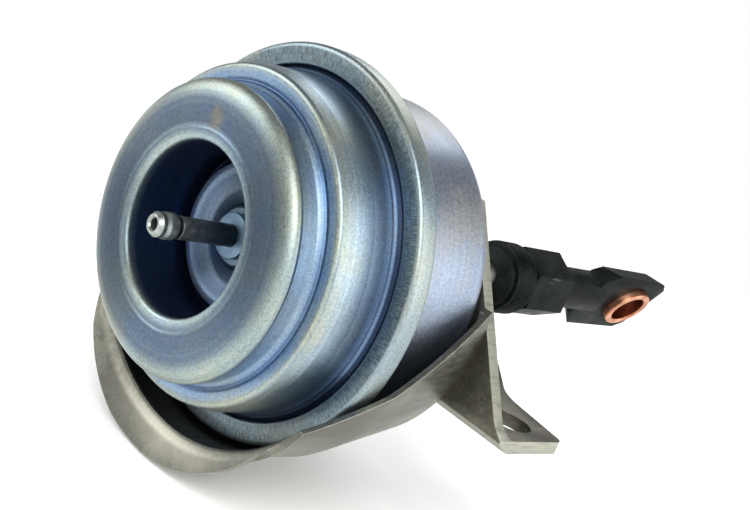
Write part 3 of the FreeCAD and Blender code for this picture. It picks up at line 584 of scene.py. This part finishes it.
def rear_zinc():
    """The back can: a scratched rim face, a paler rim edge and a smooth drum."""
    material, wires, shader, place, plate = zinc_finish("zinc_back", 0.3)
    about = wires.use(GROUPS["axis"], place=place)
    radius, station = about["Radius"], about["Station"]
    around = wires.math("MULTIPLY", about["Turn"], 1300.0)
    scuffs = wires.noise(wires.vector(around, wires.math("MULTIPLY", radius, 0.7), 0.0), 1.0, 3.0, 0.6)
    scratched = wires.blend(wires.span(scuffs, 0.36, 0.64), *RIM_SCRATCHED)
    edge = wires.math("MULTIPLY", wires.span(radius, LIP_RADIUS - 0.6, LIP_RADIUS),
                      wires.span(station, RIM_BACK + 0.8, RIM_BACK - 0.2))
    on_face = wires.math("MULTIPLY", wires.span(radius, RIM_RADIUS - 0.5, RIM_RADIUS - 1.1),
                         wires.span(station, -RIM_FRONT + 1.1, -RIM_FRONT + 0.4))
    tint = wires.blend(edge, DRUM_TINT, RIM_EDGE_TINT)
    tint = wires.blend(on_face, tint, scratched)
    lay_tint(wires, shader, place, plate, tint, ZINC_SCRATCH)
    scored = wires.math("MULTIPLY", wires.math("MULTIPLY", scuffs, on_face), 1.6)
    height = wires.math("ADD", plate["Height"], scored)
    rough_bump(wires, shader, height, 0.5, 0.04)
    return material


def sheet_finish(name, light, dark, edge_highlight, roughness):
    """Stainless sheet: rolled grain along the rod, warm grey clouds, painted highlights on the cut and eased
    edges, and wear marks.
    """
    material, wires, shader = new_material(name, 0.85)
    place = wires.object_place()
    grain = wires.noise(wires.stretched(place, (1.0, 0.16, 1.0)), SHEET_GRAIN_SCALE, 4.0, 0.6)
    clouds = wires.noise(place, SHEET_CLOUD_SCALE, 4.0, 0.6)
    marks = wires.use(GROUPS["wear"], place=place, amount=0.7)
    color = wires.blend(wires.span(clouds, 0.38, 0.64), (*dark, 1), (*light, 1))
    inner = wires.marked("inner_side")
    station = wires.use(GROUPS["axis"], place=place)["Station"]
    # Painted highlight on the crest of the inner side, then painted shade over the inner side towards the can
    crest = wires.math("MULTIPLY", wires.span(station, *CREST_FRONT), wires.span(station, *CREST_BACK))
    color = wires.blend(wires.math("MULTIPLY", crest, inner), color, CREST_HIGHLIGHT_TINT)
    shaded_inside = wires.math("MULTIPLY", inner, wires.span(station, *INNER_SHADE_START))
    color = wires.blend(shaded_inside, color, INNER_SHADE_TINT)
    tint = wires.span(grain, 0.3, 0.7, 0.84, 1.14)
    color = wires.blend(1.0, color, wires.grey(tint), "MULTIPLY")
    color = wires.blend(marks["Scratches"], color, SHEET_SCRATCH)
    color = wires.blend(marks["Stains"], color, SHEET_STAIN)
    # Painted highlight on the cut and eased edges, broken up by the grain
    glint = wires.math("MULTIPLY", wires.marked("cut_edge"), wires.span(grain, 0.25, 0.6, 0.55, 1.0))
    color = wires.blend(glint, color, (*edge_highlight, 1))
    wires.set(shader.inputs["Base Color"], color)
    wires.set(shader.inputs["Roughness"],
              wires.math("ADD", wires.span(grain, 0.3, 0.7, 0.0, 0.14), roughness))
    rough_bump(wires, shader, grain, 0.35, 0.04)
    return material


def steel_finish(name, light, dark, roughness, metallic=1.0, dark_bore=None):
    """Plain or plated metal with turning marks; the bore colour, if given, is laid on the faces marked as
    in_bore.
    """
    material, wires, shader = new_material(name, metallic)
    place = wires.object_place()
    rings = wires.use(GROUPS["turned"], place=place, fineness=5.0)["Rings"]
    clouds = wires.noise(place, STEEL_CLOUD_SCALE, 4.0, 0.6)
    marks = wires.use(GROUPS["wear"], place=place, amount=0.5)
    color = wires.blend(wires.span(clouds, 0.35, 0.65), (*dark, 1), (*light, 1))
    tint = wires.span(rings, 0.3, 0.7, 0.82, 1.15)
    color = wires.blend(1.0, color, wires.grey(tint), "MULTIPLY")
    color = wires.blend(marks["Stains"], color, STEEL_STAIN)
    # Darkens the faces of the bush's bore
    if dark_bore:
        color = wires.blend(wires.marked("in_bore"), color, (*dark_bore, 1))
    wires.set(shader.inputs["Base Color"], color)
    wires.set(shader.inputs["Roughness"],
              wires.math("ADD", wires.span(rings, 0.3, 0.7, 0.0, 0.16), roughness))
    rough_bump(wires, shader, rings, 0.3, 0.03)
    return material


def tube_finish():
    """Nipple: a dull silver head, painted shade in the neck groove, and painted shade that darkens the tube
    towards the well's floor.
    """
    material, wires, shader = new_material("nipple_steel", 0.9)
    place = wires.object_place()
    station = wires.use(GROUPS["axis"], place=place)["Station"]
    reach = NIPPLE_REACH + TAIL_END
    # The tints paint shade into the neck groove and down the tube towards the well's floor
    tint = wires.ramp(wires.math("DIVIDE", wires.math("ADD", station, NIPPLE_REACH), reach), TUBE_TINTS_AND_PAINTED_SHADE)
    film = wires.noise(place, FILM_SCALE, 4.0, 0.65)
    light = wires.span(film, 0.3, 0.7, 0.75, 1.2)
    wires.set(shader.inputs["Base Color"], wires.blend(1.0, tint, wires.grey(light), "MULTIPLY"))
    wires.set(shader.inputs["Roughness"], wires.span(film, 0.3, 0.7, 0.3, 0.46))
    rough_bump(wires, shader, film, 0.25, 0.02)
    return material


def black_finish(name, light, dark):
    """Blackened steel: oily dark film with rubbed grey spots and a forged skin."""
    material, wires, shader = new_material(name, 0.55)
    shader.inputs["Specular IOR Level"].default_value = OIL_SHEEN
    shader.inputs["Specular Tint"].default_value = OIL_TINT
    place = wires.object_place()
    clouds = wires.noise(place, BLACK_CLOUD_SCALE, 4.0, 0.6)
    grain = wires.noise(place, FORGED_SCALE, 3.0, 0.6)
    marks = wires.use(GROUPS["wear"], place=place, amount=0.6)
    color = wires.blend(wires.span(clouds, 0.35, 0.65), (*dark, 1), (*light, 1))
    color = wires.blend(marks["Scratches"], color, RUBBED_BLACK)
    wires.set(shader.inputs["Base Color"], color)
    wires.set(shader.inputs["Roughness"],
              wires.math("ADD", wires.span(clouds, 0.3, 0.7, 0.0, 0.16), BLACK_ROUGHNESS))
    rough_bump(wires, shader, grain, 0.4, 0.06)
    return material


def moulded_finish(name, light, dark, smooth_end, rough_end):
    """Moulded rubber or polymer: pale bloom over a dark grained skin."""
    material, wires, shader = new_material(name, 0.0)
    place = wires.object_place()
    bloom = wires.noise(place, MOULD_BLOOM_SCALE, 4.0, 0.6)
    grain = wires.noise(place, MOULD_GRAIN_SCALE, 2.0, 0.5)
    color = wires.blend(wires.span(bloom, 0.35, 0.7), (*dark, 1), (*light, 1))
    wires.set(shader.inputs["Base Color"], color)
    wires.set(shader.inputs["Roughness"], wires.span(bloom, 0.3, 0.7, smooth_end, rough_end))
    rough_bump(wires, shader, grain, 0.3, 0.04)
    return material


FINISH = {
    "nose": front_zinc(),
    "back": rear_zinc(),
    "steel": steel_finish("plated_steel", (0.5, 0.52, 0.53), (0.36, 0.38, 0.4), 0.25),
    "tube": tube_finish(),
    "collar": steel_finish("collar_zinc", (0.27, 0.39, 0.50), (0.18, 0.28, 0.38), 0.4),
    "spring": steel_finish("spring_wire", (0.3, 0.3, 0.31), (0.18, 0.18, 0.19), 0.35),
    # The third colour of each sheet finish is the painted highlight on its cut and eased edges
    "shield": sheet_finish("shield_sheet", (0.26, 0.257, 0.213), (0.165, 0.162, 0.134),
                           (0.6, 0.6, 0.52), 0.36),
    "bracket": sheet_finish("bracket_sheet", (0.155, 0.15, 0.118), (0.083, 0.08, 0.061),
                            (0.42, 0.42, 0.35), 0.34),
    "black": black_finish("blackened_steel", (0.0185, 0.0225, 0.0215), (0.0085, 0.0105, 0.0105)),
    "bronze": steel_finish("copper_bush", (0.72, 0.36, 0.22), (0.42, 0.17, 0.09), 0.3,
                           dark_bore=(0.19, 0.05, 0.025)),
    "rubber": moulded_finish("moulded_rubber", (0.05, 0.05, 0.052), (0.018, 0.018, 0.02), 0.55, 0.75),
    "polymer": moulded_finish("moulded_polymer", (0.075, 0.072, 0.065), (0.04, 0.038, 0.034),
                              0.38, 0.52),
}
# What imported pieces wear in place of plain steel
WEARS = {"diaphragm": "rubber", "rod_dust_seal": "rubber", "return_spring": "spring",
         "bush_clip": "spring", "rod_guide_bush": "polymer", "spring_seat": "polymer"}
for name, node in nodes.items():
    node.data.materials.clear()
    node.data.materials.append(FINISH[WEARS.get(name, "steel")])


# Turned and pressed pieces

def rounded(corners):
    """A closed outline of (radius, station, rounding) corners, with its corners rounded."""
    points = []
    count = len(corners)
    for number, (across, along, size) in enumerate(corners):
        here = Vector((across, along))
        if size <= 0:
            points.append(here)
            continue
        before = Vector(corners[number - 1][:2]) - here
        after = Vector(corners[(number + 1) % count][:2]) - here
        angle = before.angle(after)
        reach = min(size / math.tan(angle / 2), before.length * SIDE_SHARE, after.length * SIDE_SHARE)
        size = reach * math.tan(angle / 2)
        before, after = before.normalized(), after.normalized()
        middle = here + (before + after).normalized() * (size / math.sin(angle / 2))
        first, last = here + before * reach - middle, here + after * reach - middle
        turn = first.angle_signed(last)
        for step in range(CORNER_STEPS + 1):
            share = -turn * step / CORNER_STEPS
            cosine, sine = math.cos(share), math.sin(share)
            turned = Vector((first.x * cosine - first.y * sine, first.x * sine + first.y * cosine))
            points.append(middle + turned)
    return points


def smooth(mesh, degrees):
    """Smooth shading, with edges past this angle kept sharp."""
    mesh.shade_smooth()
    mesh.set_sharp_from_angle(angle=math.radians(degrees))


def mark_faces(mesh, label, is_marked):
    """Gives the faces a label that the finishes read: 1 where is_marked holds, 0 elsewhere."""
    layer = mesh.attributes.new(label, "FLOAT", "FACE")
    for face in mesh.polygons:
        layer.data[face.index].value = 1.0 if is_marked(face) else 0.0


def applied_mesh(name, piece):
    """The mesh of a piece with its modifiers applied; the piece itself goes."""
    mesh = bpy.data.meshes.new_from_object(piece.evaluated_get(bpy.context.evaluated_depsgraph_get()))
    bpy.data.objects.remove(piece)
    mesh.name = name
    return mesh


def turned_mesh(name, corners, segments):
    """Turns a closed half outline about the Y axis; radii and stations are in millimetres."""
    outline = rounded(corners)
    shape = bmesh.new()
    loops = []
    for number in range(segments):
        angle = 2 * math.pi * number / segments
        loops.append([shape.verts.new((point.x * math.cos(angle) * MM, point.y * MM,
                                       point.x * math.sin(angle) * MM)) for point in outline])
    for number in range(segments):
        here, there = loops[number], loops[(number + 1) % segments]
        for place in range(len(outline)):
            following = (place + 1) % len(outline)
            shape.faces.new((here[place], here[following], there[following], there[place]))
    bmesh.ops.remove_doubles(shape, verts=shape.verts, dist=TINY_REACH)
    bmesh.ops.recalc_face_normals(shape, faces=shape.faces)
    mesh = bpy.data.meshes.new(name)
    shape.to_mesh(mesh)
    shape.free()
    smooth(mesh, TURNED_CREASE)
    return mesh


def stand_in(name, mesh, finish, node, body):
    """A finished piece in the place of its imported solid."""
    piece = link_object(name, mesh)
    mesh.materials.clear()
    mesh.materials.append(FINISH[finish])
    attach(piece, body)
    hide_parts(node)
    return piece


def turned_piece(name, corners, finish, node, body, segments=SMALL_SEGMENTS):
    mesh = turned_mesh(name, corners, segments)
    for vertex in mesh.vertices:
        vertex.co += AXIS
    return stand_in(name, mesh, finish, node, body)


def merged_mesh(name, node, flat=None):
    """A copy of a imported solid's mesh with its faces joined, and merged where they differ by less
    than flat degrees."""
    shape = bmesh.new()
    shape.from_mesh(nodes[node].data)
    bmesh.ops.remove_doubles(shape, verts=shape.verts, dist=MERGE_REACH)
    if flat is not None:
        bmesh.ops.dissolve_limit(shape, angle_limit=math.radians(flat), verts=shape.verts,
                                 edges=shape.edges)
    mesh = bpy.data.meshes.new(name)
    shape.to_mesh(mesh)
    shape.free()
    return mesh


def soft_piece(name, node, finish, degrees):
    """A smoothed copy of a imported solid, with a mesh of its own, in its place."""
    mesh = merged_mesh(name, node)
    smooth(mesh, degrees)
    piece = stand_in(name, mesh, finish, node, "housing")
    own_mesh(piece)


def bevel_tab(mesh):
    """Narrows the far face of the rod end's tab, so that its sides slope like the forging's."""
    turn = Quaternion((0, 1, 0), EYE_TURN)
    for vertex in mesh.vertices:
        place = turn.inverted() @ (vertex.co - AXIS) / MM
        for (station, half), near, far in TAB_CORNERS:
            if abs(place.y - station) < CORNER_REACH and abs(abs(place.z) - half) < CORNER_REACH:
                moved = near if place.x > 0 else far
                target = Vector((place.x, moved[0], math.copysign(moved[1], place.z)))
                vertex.co = turn @ (target * MM) + AXIS


def no_face(face):
    return False


def eased_piece(name, node, edge, finish, body, is_cut=no_face, is_inner=no_face, reshape=None):
    """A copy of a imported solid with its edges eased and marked, in its place."""
    mesh = merged_mesh(name, node, FLAT_ANGLE)
    if reshape:
        reshape(mesh)
    for index in range(EASED_INDEX + 1):
        mesh.materials.append(FINISH[finish])
    piece = link_object(name, mesh)
    bevel = piece.modifiers.new("eased_edges", "BEVEL")
    bevel.material = EASED_INDEX
    bevel.width = edge * MM
    bevel.segments = BEVEL_STEPS
    bevel.limit_method = "ANGLE"
    bevel.angle_limit = math.radians(BEVEL_ANGLE)
    bevel.use_clamp_overlap = True
    bevel.harden_normals = False
    ready = applied_mesh(name, piece)
    mark_faces(ready, "cut_edge", lambda face: face.material_index == EASED_INDEX or is_cut(face))
    mark_faces(ready, "inner_side", is_inner)
    for face in ready.polygons:
        face.material_index = 0
    smooth(ready, SHEET_CREASE)
    return stand_in(name, ready, finish, node, body)


def faces_axis(face):
    """True on the side of the shield that looks at the can."""
    inward = Vector((AXIS.x - face.center.x, 0, AXIS.z - face.center.z)).normalized()
    return face.normal.dot(inward) > INNER_LEAN


def bracket_cut(face):
    """True on the sheared side faces of the bracket's sheet."""
    in_foot = face.center.z < SHEET * MM
    foot_end = in_foot and abs(face.normal.y) > END_LEAN
    in_hole = in_foot and face.center.to_2d().length < HOLE_REACH * MM
    return (abs(face.normal.x) > SIDE_LEAN or foot_end) and not in_hole


def in_bush_bore(face):
    """True in the bore of the rod end's bush, before the bush is laid over."""
    return Vector((face.center.x, face.center.z)).length < (EYE_BORE + BORE_REACH) * MM


def rolled_edge(across, along):
    """Points of a flattened round corner, from the face out to the wall."""
    points = []
    for step in range(EDGE_STEPS + 1):
        angle = math.pi / 2 * (1 - step / EDGE_STEPS)
        points.append((across - EDGE_WIDE * (1 - math.cos(angle)),
                       along + EDGE_DEEP * (1 - math.sin(angle)), 0))
    return points


def front_pressing():
    """Nose of the can: rolled nose edge, shallow groove in the face, bead at the shoulder's foot."""
    outside = [
        (TUBE_HOLE, -BOSS_FRONT, 0), (5.0, -BOSS_FRONT, 0.35), *DISH_FRONT,
        (WELL_RADIUS - 0.02, -WELL_FLOOR, 0.2), (WELL_RADIUS, -NOSE_DEPTH, 1.9),
        (FACE_GROOVE - 0.45, -NOSE_DEPTH, 0.2), (FACE_GROOVE, -NOSE_DEPTH + GROOVE_DEPTH, 0.15),
        (FACE_GROOVE + 0.4, -NOSE_DEPTH, 0.3), *rolled_edge(NOSE_RADIUS, -NOSE_DEPTH),
        (NOSE_WALL - 0.55, -NOSE_BEAD + 0.9, 0.6),
        (NOSE_WALL - 0.1, -MID_DEPTH - 0.9, 1.2), (NOSE_WALL + 0.55, -MID_DEPTH - SHOULDER_RIDGE, 0.25),
        (NOSE_WALL + 0.95, -MID_DEPTH + 0.15, 0.25), (NOSE_WALL + 1.5, -MID_DEPTH, 0.4),
        (MID_RADIUS - 0.6, -MID_DEPTH, 0.9), (MID_RADIUS + 0.1, -10.9, 3.0), (MID_RADIUS + 0.05, -7.0, 2.0),
        (MID_BACK_RADIUS, -3.4, 1.2),
        (LIP_RADIUS - 0.15, -SKIN - 0.9, 0.3), (LIP_RADIUS - 0.1, -SKIN, 0), (RIM_RADIUS - SKIN, -SKIN, 0),
    ]
    inside = [
        (RIM_RADIUS - SKIN, 0, 0), (MID_RADIUS - SKIN, 0, 0), (MID_RADIUS - SKIN, -MID_DEPTH + 2.1, 0),
        (MID_RADIUS - 2.1, -MID_DEPTH + SKIN, 0), (NOSE_WALL - 1.6, -MID_DEPTH + SKIN, 0),
        (NOSE_WALL - 1.6, -NOSE_DEPTH + SKIN, 1.0), (WELL_RADIUS + 2.1, -NOSE_DEPTH + SKIN, 0),
        (WELL_RADIUS + SKIN, -NOSE_DEPTH + 2.1, 0), (WELL_RADIUS + SKIN, -WELL_FLOOR + SKIN, 0),
        (12.8, -WELL_FLOOR + SKIN, 0), *DISH_BACK, (TUBE_HOLE, -8.7, 0),
    ]
    turned_piece("front_pressing", outside + inside, "nose", "front_can", "housing",
                 TURNED_SEGMENTS)


def rear_pressing():
    """Back of the can with its rim rolled over the front can's flange."""
    turned_piece("rear_pressing", [
        (LIP_RADIUS, -SKIN - 0.02, 0), (LIP_RADIUS, -RIM_FRONT + 0.1, 0.35), (32.6, -RIM_FRONT, 0.8),
        (RIM_RADIUS, -RIM_FRONT, 0.9), (RIM_RADIUS, -0.6, 0.5), (RIM_RADIUS - 0.1, RIM_BACK, 0.9),
        (BACK_RADIUS + 0.3, RIM_BACK - 0.1, 1.4), (BACK_RADIUS, 6.0, 3.0), (BACK_RADIUS, BACK_DEPTH, 2.6),
        (BUSH_HOLE, BACK_DEPTH, 0), (BUSH_HOLE, BACK_DEPTH - SKIN, 0),
        (BACK_RADIUS - SKIN, BACK_DEPTH - SKIN, 1.6), (BACK_RADIUS - SKIN, SKIN, 0),
        (RIM_RADIUS - SKIN, SKIN, 0), (RIM_RADIUS - SKIN, -SKIN - 0.02, 0),
    ], "back", "rear_can", "housing", TURNED_SEGMENTS)


def nipple():
    """Tube with a barbed head: a bevelled mouth, a bead and a groove behind the head."""
    tip = -NIPPLE_REACH
    neck = tip + HEAD_LENGTH
    turned_piece("nipple_tube", [
        (BORE_RADIUS, tip + 0.35, 0), (BORE_RADIUS + 0.25, tip, 0.1), (HEAD_RADIUS - 0.65, tip, 0.15),
        (HEAD_RADIUS - 0.1, tip + 0.75, 0.25), (HEAD_RADIUS - 0.22, tip + 1.5, 0.3),
        (HEAD_RADIUS, tip + 2.3, 0.3), (HEAD_RADIUS, neck - 0.5, 0.35), (TUBE_RADIUS - 0.15, neck, 0.15),
        (TUBE_RADIUS - 0.15, neck + 0.5, 0.1), (TUBE_RADIUS, neck + 0.8, 0.2),
        (TUBE_RADIUS, TAIL_END, 0), (BORE_RADIUS, TAIL_END, 0),
    ], "tube", "vacuum_nipple", "housing")
    turned_piece("seat_collar", [
        (TUBE_HOLE, -COLLAR_FRONT, 0), (COLLAR_RADIUS, -COLLAR_FRONT, 0.2),
        (COLLAR_RADIUS, -COLLAR_FRONT + COLLAR_SHEET, 0.15), (COLLAR_NECK, -COLLAR_FRONT + COLLAR_SHEET, 0.1),
        (COLLAR_NECK, -BOSS_FRONT, 0), (TUBE_HOLE, -BOSS_FRONT, 0),
    ], "collar", "nipple_collar", "housing")


def ridge_mesh():
    """One fine ridge of the lock nut's knurl, lying along Y."""
    shape = bmesh.new()
    root = NUT_RADIUS - RIDGE_DEPTH * 1.6
    front, back = NUT_SHOULDER + 0.9, NUT_BACK - 1.0
    ends = []
    for station, crest in ((front, root), (front + 0.4, NUT_RADIUS), (back - 0.4, NUT_RADIUS), (back, root)):
        ends.append([shape.verts.new((across * MM, station * MM, up * MM))
                     for across, up in ((root, -RIDGE_HALF * 1.3), (crest, -RIDGE_HALF * 0.5),
                                        (crest, RIDGE_HALF * 0.5), (root, RIDGE_HALF * 1.3))])
    for here, there in zip(ends, ends[1:]):
        for place in range(4):
            following = (place + 1) % 4
            shape.faces.new((here[place], here[following], there[following], there[place]))
    bmesh.ops.recalc_face_normals(shape, faces=shape.faces)
    mesh = bpy.data.meshes.new("nut_ridge")
    shape.to_mesh(mesh)
    shape.free()
    return mesh


def serration_tree():
    """Geometry Nodes that set one ridge at even turns about the Y axis."""
    tree = bpy.data.node_groups.new("serration", "GeometryNodeTree")
    face = tree.interface
    face.new_socket(name="Body", in_out="INPUT", socket_type="NodeSocketGeometry")
    face.new_socket(name="Ridge", in_out="INPUT", socket_type="NodeSocketObject")
    face.new_socket(name="Count", in_out="INPUT", socket_type="NodeSocketInt")
    face.new_socket(name="Finish", in_out="INPUT", socket_type="NodeSocketMaterial")
    face.new_socket(name="Geometry", in_out="OUTPUT", socket_type="NodeSocketGeometry")
    make = tree.nodes.new
    join = tree.links.new
    given, sink = make("NodeGroupInput"), make("NodeGroupOutput")
    points = make("GeometryNodePoints")
    join(given.outputs["Count"], points.inputs["Count"])
    index = make("GeometryNodeInputIndex")
    share = make("ShaderNodeMath")
    share.operation = "DIVIDE"
    join(index.outputs[0], share.inputs[0])
    join(given.outputs["Count"], share.inputs[1])
    turn = make("ShaderNodeMath")
    turn.operation = "MULTIPLY"
    turn.inputs[1].default_value = 2 * math.pi
    join(share.outputs[0], turn.inputs[0])
    angles = make("ShaderNodeCombineXYZ")
    join(turn.outputs[0], angles.inputs["Y"])
    ridge = make("GeometryNodeObjectInfo")
    join(given.outputs["Ridge"], ridge.inputs["Object"])
    place = make("GeometryNodeInstanceOnPoints")
    join(points.outputs[0], place.inputs["Points"])
    join(ridge.outputs["Geometry"], place.inputs["Instance"])
    join(angles.outputs[0], place.inputs["Rotation"])
    both = make("GeometryNodeJoinGeometry")
    join(place.outputs[0], both.inputs[0])
    join(given.outputs["Body"], both.inputs[0])
    real = make("GeometryNodeRealizeInstances")
    join(both.outputs[0], real.inputs[0])
    paint = make("GeometryNodeSetMaterial")
    join(real.outputs[0], paint.inputs["Geometry"])
    join(given.outputs["Finish"], paint.inputs["Material"])
    join(paint.outputs[0], sink.inputs[0])
    return tree


def lock_nut():
    """Round nut: coned face with a groove at its edge, fine knurl behind, plain collar at the back."""
    core = NUT_RADIUS - RIDGE_DEPTH
    mesh = turned_mesh("nut_core", [
        (ROD_BORE, NUT_FRONT, 0), (ROD_BORE + 0.5, NUT_FRONT, 0.1), (core - 0.9, NUT_SHOULDER - 0.2, 0.3),
        (core - 0.9, NUT_SHOULDER + 0.35, 0.1), (core, NUT_SHOULDER + 0.45, 0.2), (core, NUT_BACK - 0.8, 0.4),
        (core - 0.8, NUT_BACK, 0.3), (ROD_BORE, NUT_BACK, 0)], TURNED_SEGMENTS)
    core_piece = link_object("nut_core", mesh)
    ridge = link_object("nut_ridge", ridge_mesh())
    tree = serration_tree()
    modifier = core_piece.modifiers.new("serration", "NODES")
    modifier.node_group = tree
    values = {"Ridge": ridge, "Count": NUT_RIDGES, "Finish": FINISH["black"]}
    for item in tree.interface.items_tree:
        if item.item_type == "SOCKET" and item.in_out == "INPUT" and item.name in values:
            modifier[item.identifier] = values[item.name]
    ready = applied_mesh("serrated_nut", core_piece)
    bpy.data.objects.remove(ridge)
    turn = Quaternion((0, 1, 0), EYE_TURN)
    for vertex in ready.vertices:
        vertex.co = turn @ vertex.co + AXIS
    smooth(ready, TURNED_CREASE)
    stand_in("serrated_nut", ready, "black", "lock_nut", "rod")


def eye_bush():
    """Copper-coloured bush pressed in the eye, with eased mouths."""
    mesh = turned_mesh("eye_bush", [
        (EYE_BORE, -EYE_BUSH_HALF, 0.35), (EYE_BUSH_RADIUS, -EYE_BUSH_HALF, 0.3),
        (EYE_BUSH_RADIUS, EYE_BUSH_FAR, 0.3), (EYE_BORE, EYE_BUSH_FAR, 0.35)], SMALL_SEGMENTS)
    mark_faces(mesh, "in_bore", in_bush_bore)
    lay_over = Quaternion((0, 0, 1), math.pi / 2)
    turn = Quaternion((0, 1, 0), EYE_TURN)
    for vertex in mesh.vertices:
        vertex.co = turn @ (lay_over @ vertex.co + Vector((0, EYE_REACH * MM, 0))) + AXIS
    stand_in("eye_bush", mesh, "bronze", "rod_end_bush", "rod")


def make_floor():
    """Pale floor that keeps the shadow near the object and fades to the white backdrop."""
    level = cad_box[0][2] - FLOOR_DROP
    corners = [(across * FLOOR_SIZE, along * FLOOR_SIZE, level)
               for across, along in ((-1, -1), (1, -1), (1, 1), (-1, 1))]
    mesh = bpy.data.meshes.new("floor")
    mesh.from_pydata(corners, [], [(0, 1, 2, 3)])
    floor = link_object("floor", mesh)
    material = bpy.data.materials.new("floor_white")
    material.use_nodes = True
    tree = material.node_tree
    tree.nodes.remove(tree.nodes["Principled BSDF"])
    wires = Wiring(tree)
    path = tree.nodes.new("ShaderNodeLightPath")
    seen = wires.math("MAXIMUM", path.outputs["Is Camera Ray"], path.outputs["Is Glossy Ray"])
    seen = wires.math("MAXIMUM", seen, path.outputs["Is Transmission Ray"])
    matt = tree.nodes.new("ShaderNodeBsdfDiffuse")
    lit, shown = [(tone, tone, tone, 1) for tone in (FLOOR_LIT, FLOOR_SEEN)]
    wires.set(matt.inputs["Color"], wires.blend(seen, lit, shown))
    glow = tree.nodes.new("ShaderNodeEmission")
    wires.set(glow.inputs["Strength"], seen)
    length = tree.nodes.new("ShaderNodeVectorMath")
    length.operation = "LENGTH"
    wires.set(length.inputs[0], wires.object_place())
    far = wires.span(length.outputs["Value"], *FLOOR_FADE)
    mix = tree.nodes.new("ShaderNodeMixShader")
    wires.set(mix.inputs[0], far)
    wires.set(mix.inputs[1], matt.outputs[0])
    wires.set(mix.inputs[2], glow.outputs[0])
    wires.set(tree.nodes["Material Output"].inputs["Surface"], mix.outputs[0])
    mesh.materials.append(material)


def area_light(name, place, power, size):
    data = bpy.data.lights.new(name, "AREA")
    data.energy = power
    data.shape = "DISK"
    data.size = size
    light = bpy.data.objects.new(name, data)
    light.location = place
    light.rotation_mode = "QUATERNION"
    light.rotation_quaternion = (Vector(place) - TARGET).to_track_quat("Z", "Y")
    bpy.context.scene.collection.objects.link(light)


def make_world():
    """White backdrop; a softer room lights the object."""
    world = bpy.data.worlds.new("studio")
    bpy.context.scene.world = world
    world.use_nodes = True
    tree = world.node_tree
    wires = Wiring(tree)
    path = tree.nodes.new("ShaderNodeLightPath")
    direction = tree.nodes.new("ShaderNodeSeparateXYZ")
    wires.set(direction.inputs[0], tree.nodes.new("ShaderNodeTexCoord").outputs["Generated"])
    room = wires.span(direction.outputs["Z"], 0.05, 0.75, 1.0, ROOM_TOP)
    side = wires.span(direction.outputs["X"], -0.8, 0.5, ROOM_LEFT, 1.0)
    mirrored = wires.math("MULTIPLY", room, side)
    shown = wires.math("MULTIPLY", path.outputs["Is Camera Ray"], 1.0 - ROOM_LIGHT)
    plain = wires.math("ADD", shown, ROOM_LIGHT)
    dimmed = wires.math("MULTIPLY", path.outputs["Is Glossy Ray"],
                        wires.math("SUBTRACT", mirrored, plain))
    strength = wires.math("ADD", dimmed, plain)
    background = tree.nodes["Background"]
    background.inputs["Color"].default_value = (1, 1, 1, 1)
    wires.set(background.inputs["Strength"], strength)


make_camera()
front_pressing()
rear_pressing()
nipple()
lock_nut()
eye_bush()
eased_piece("shield_drawing", "heat_shield", SHIELD_EASE, "shield", "housing",
            is_inner=faces_axis)
eased_piece("bracket_bending", "bracket", BRACKET_EASE, "bracket", "housing",
            is_cut=bracket_cut)
eased_piece("forged_end", "rod_end", FORGED_EASE, "black", "rod", reshape=bevel_tab)
soft_piece("coil_spring", "return_spring", "spring",
           WIRE_CREASE)
soft_piece("rolling_rubber", "diaphragm", "rubber",
           TURNED_CREASE)
make_floor()
make_world()
for name, place, power, size in LIGHTS:
    area_light(name, place, power, size)
bpy.context.scene.view_settings.view_transform = "Standard"
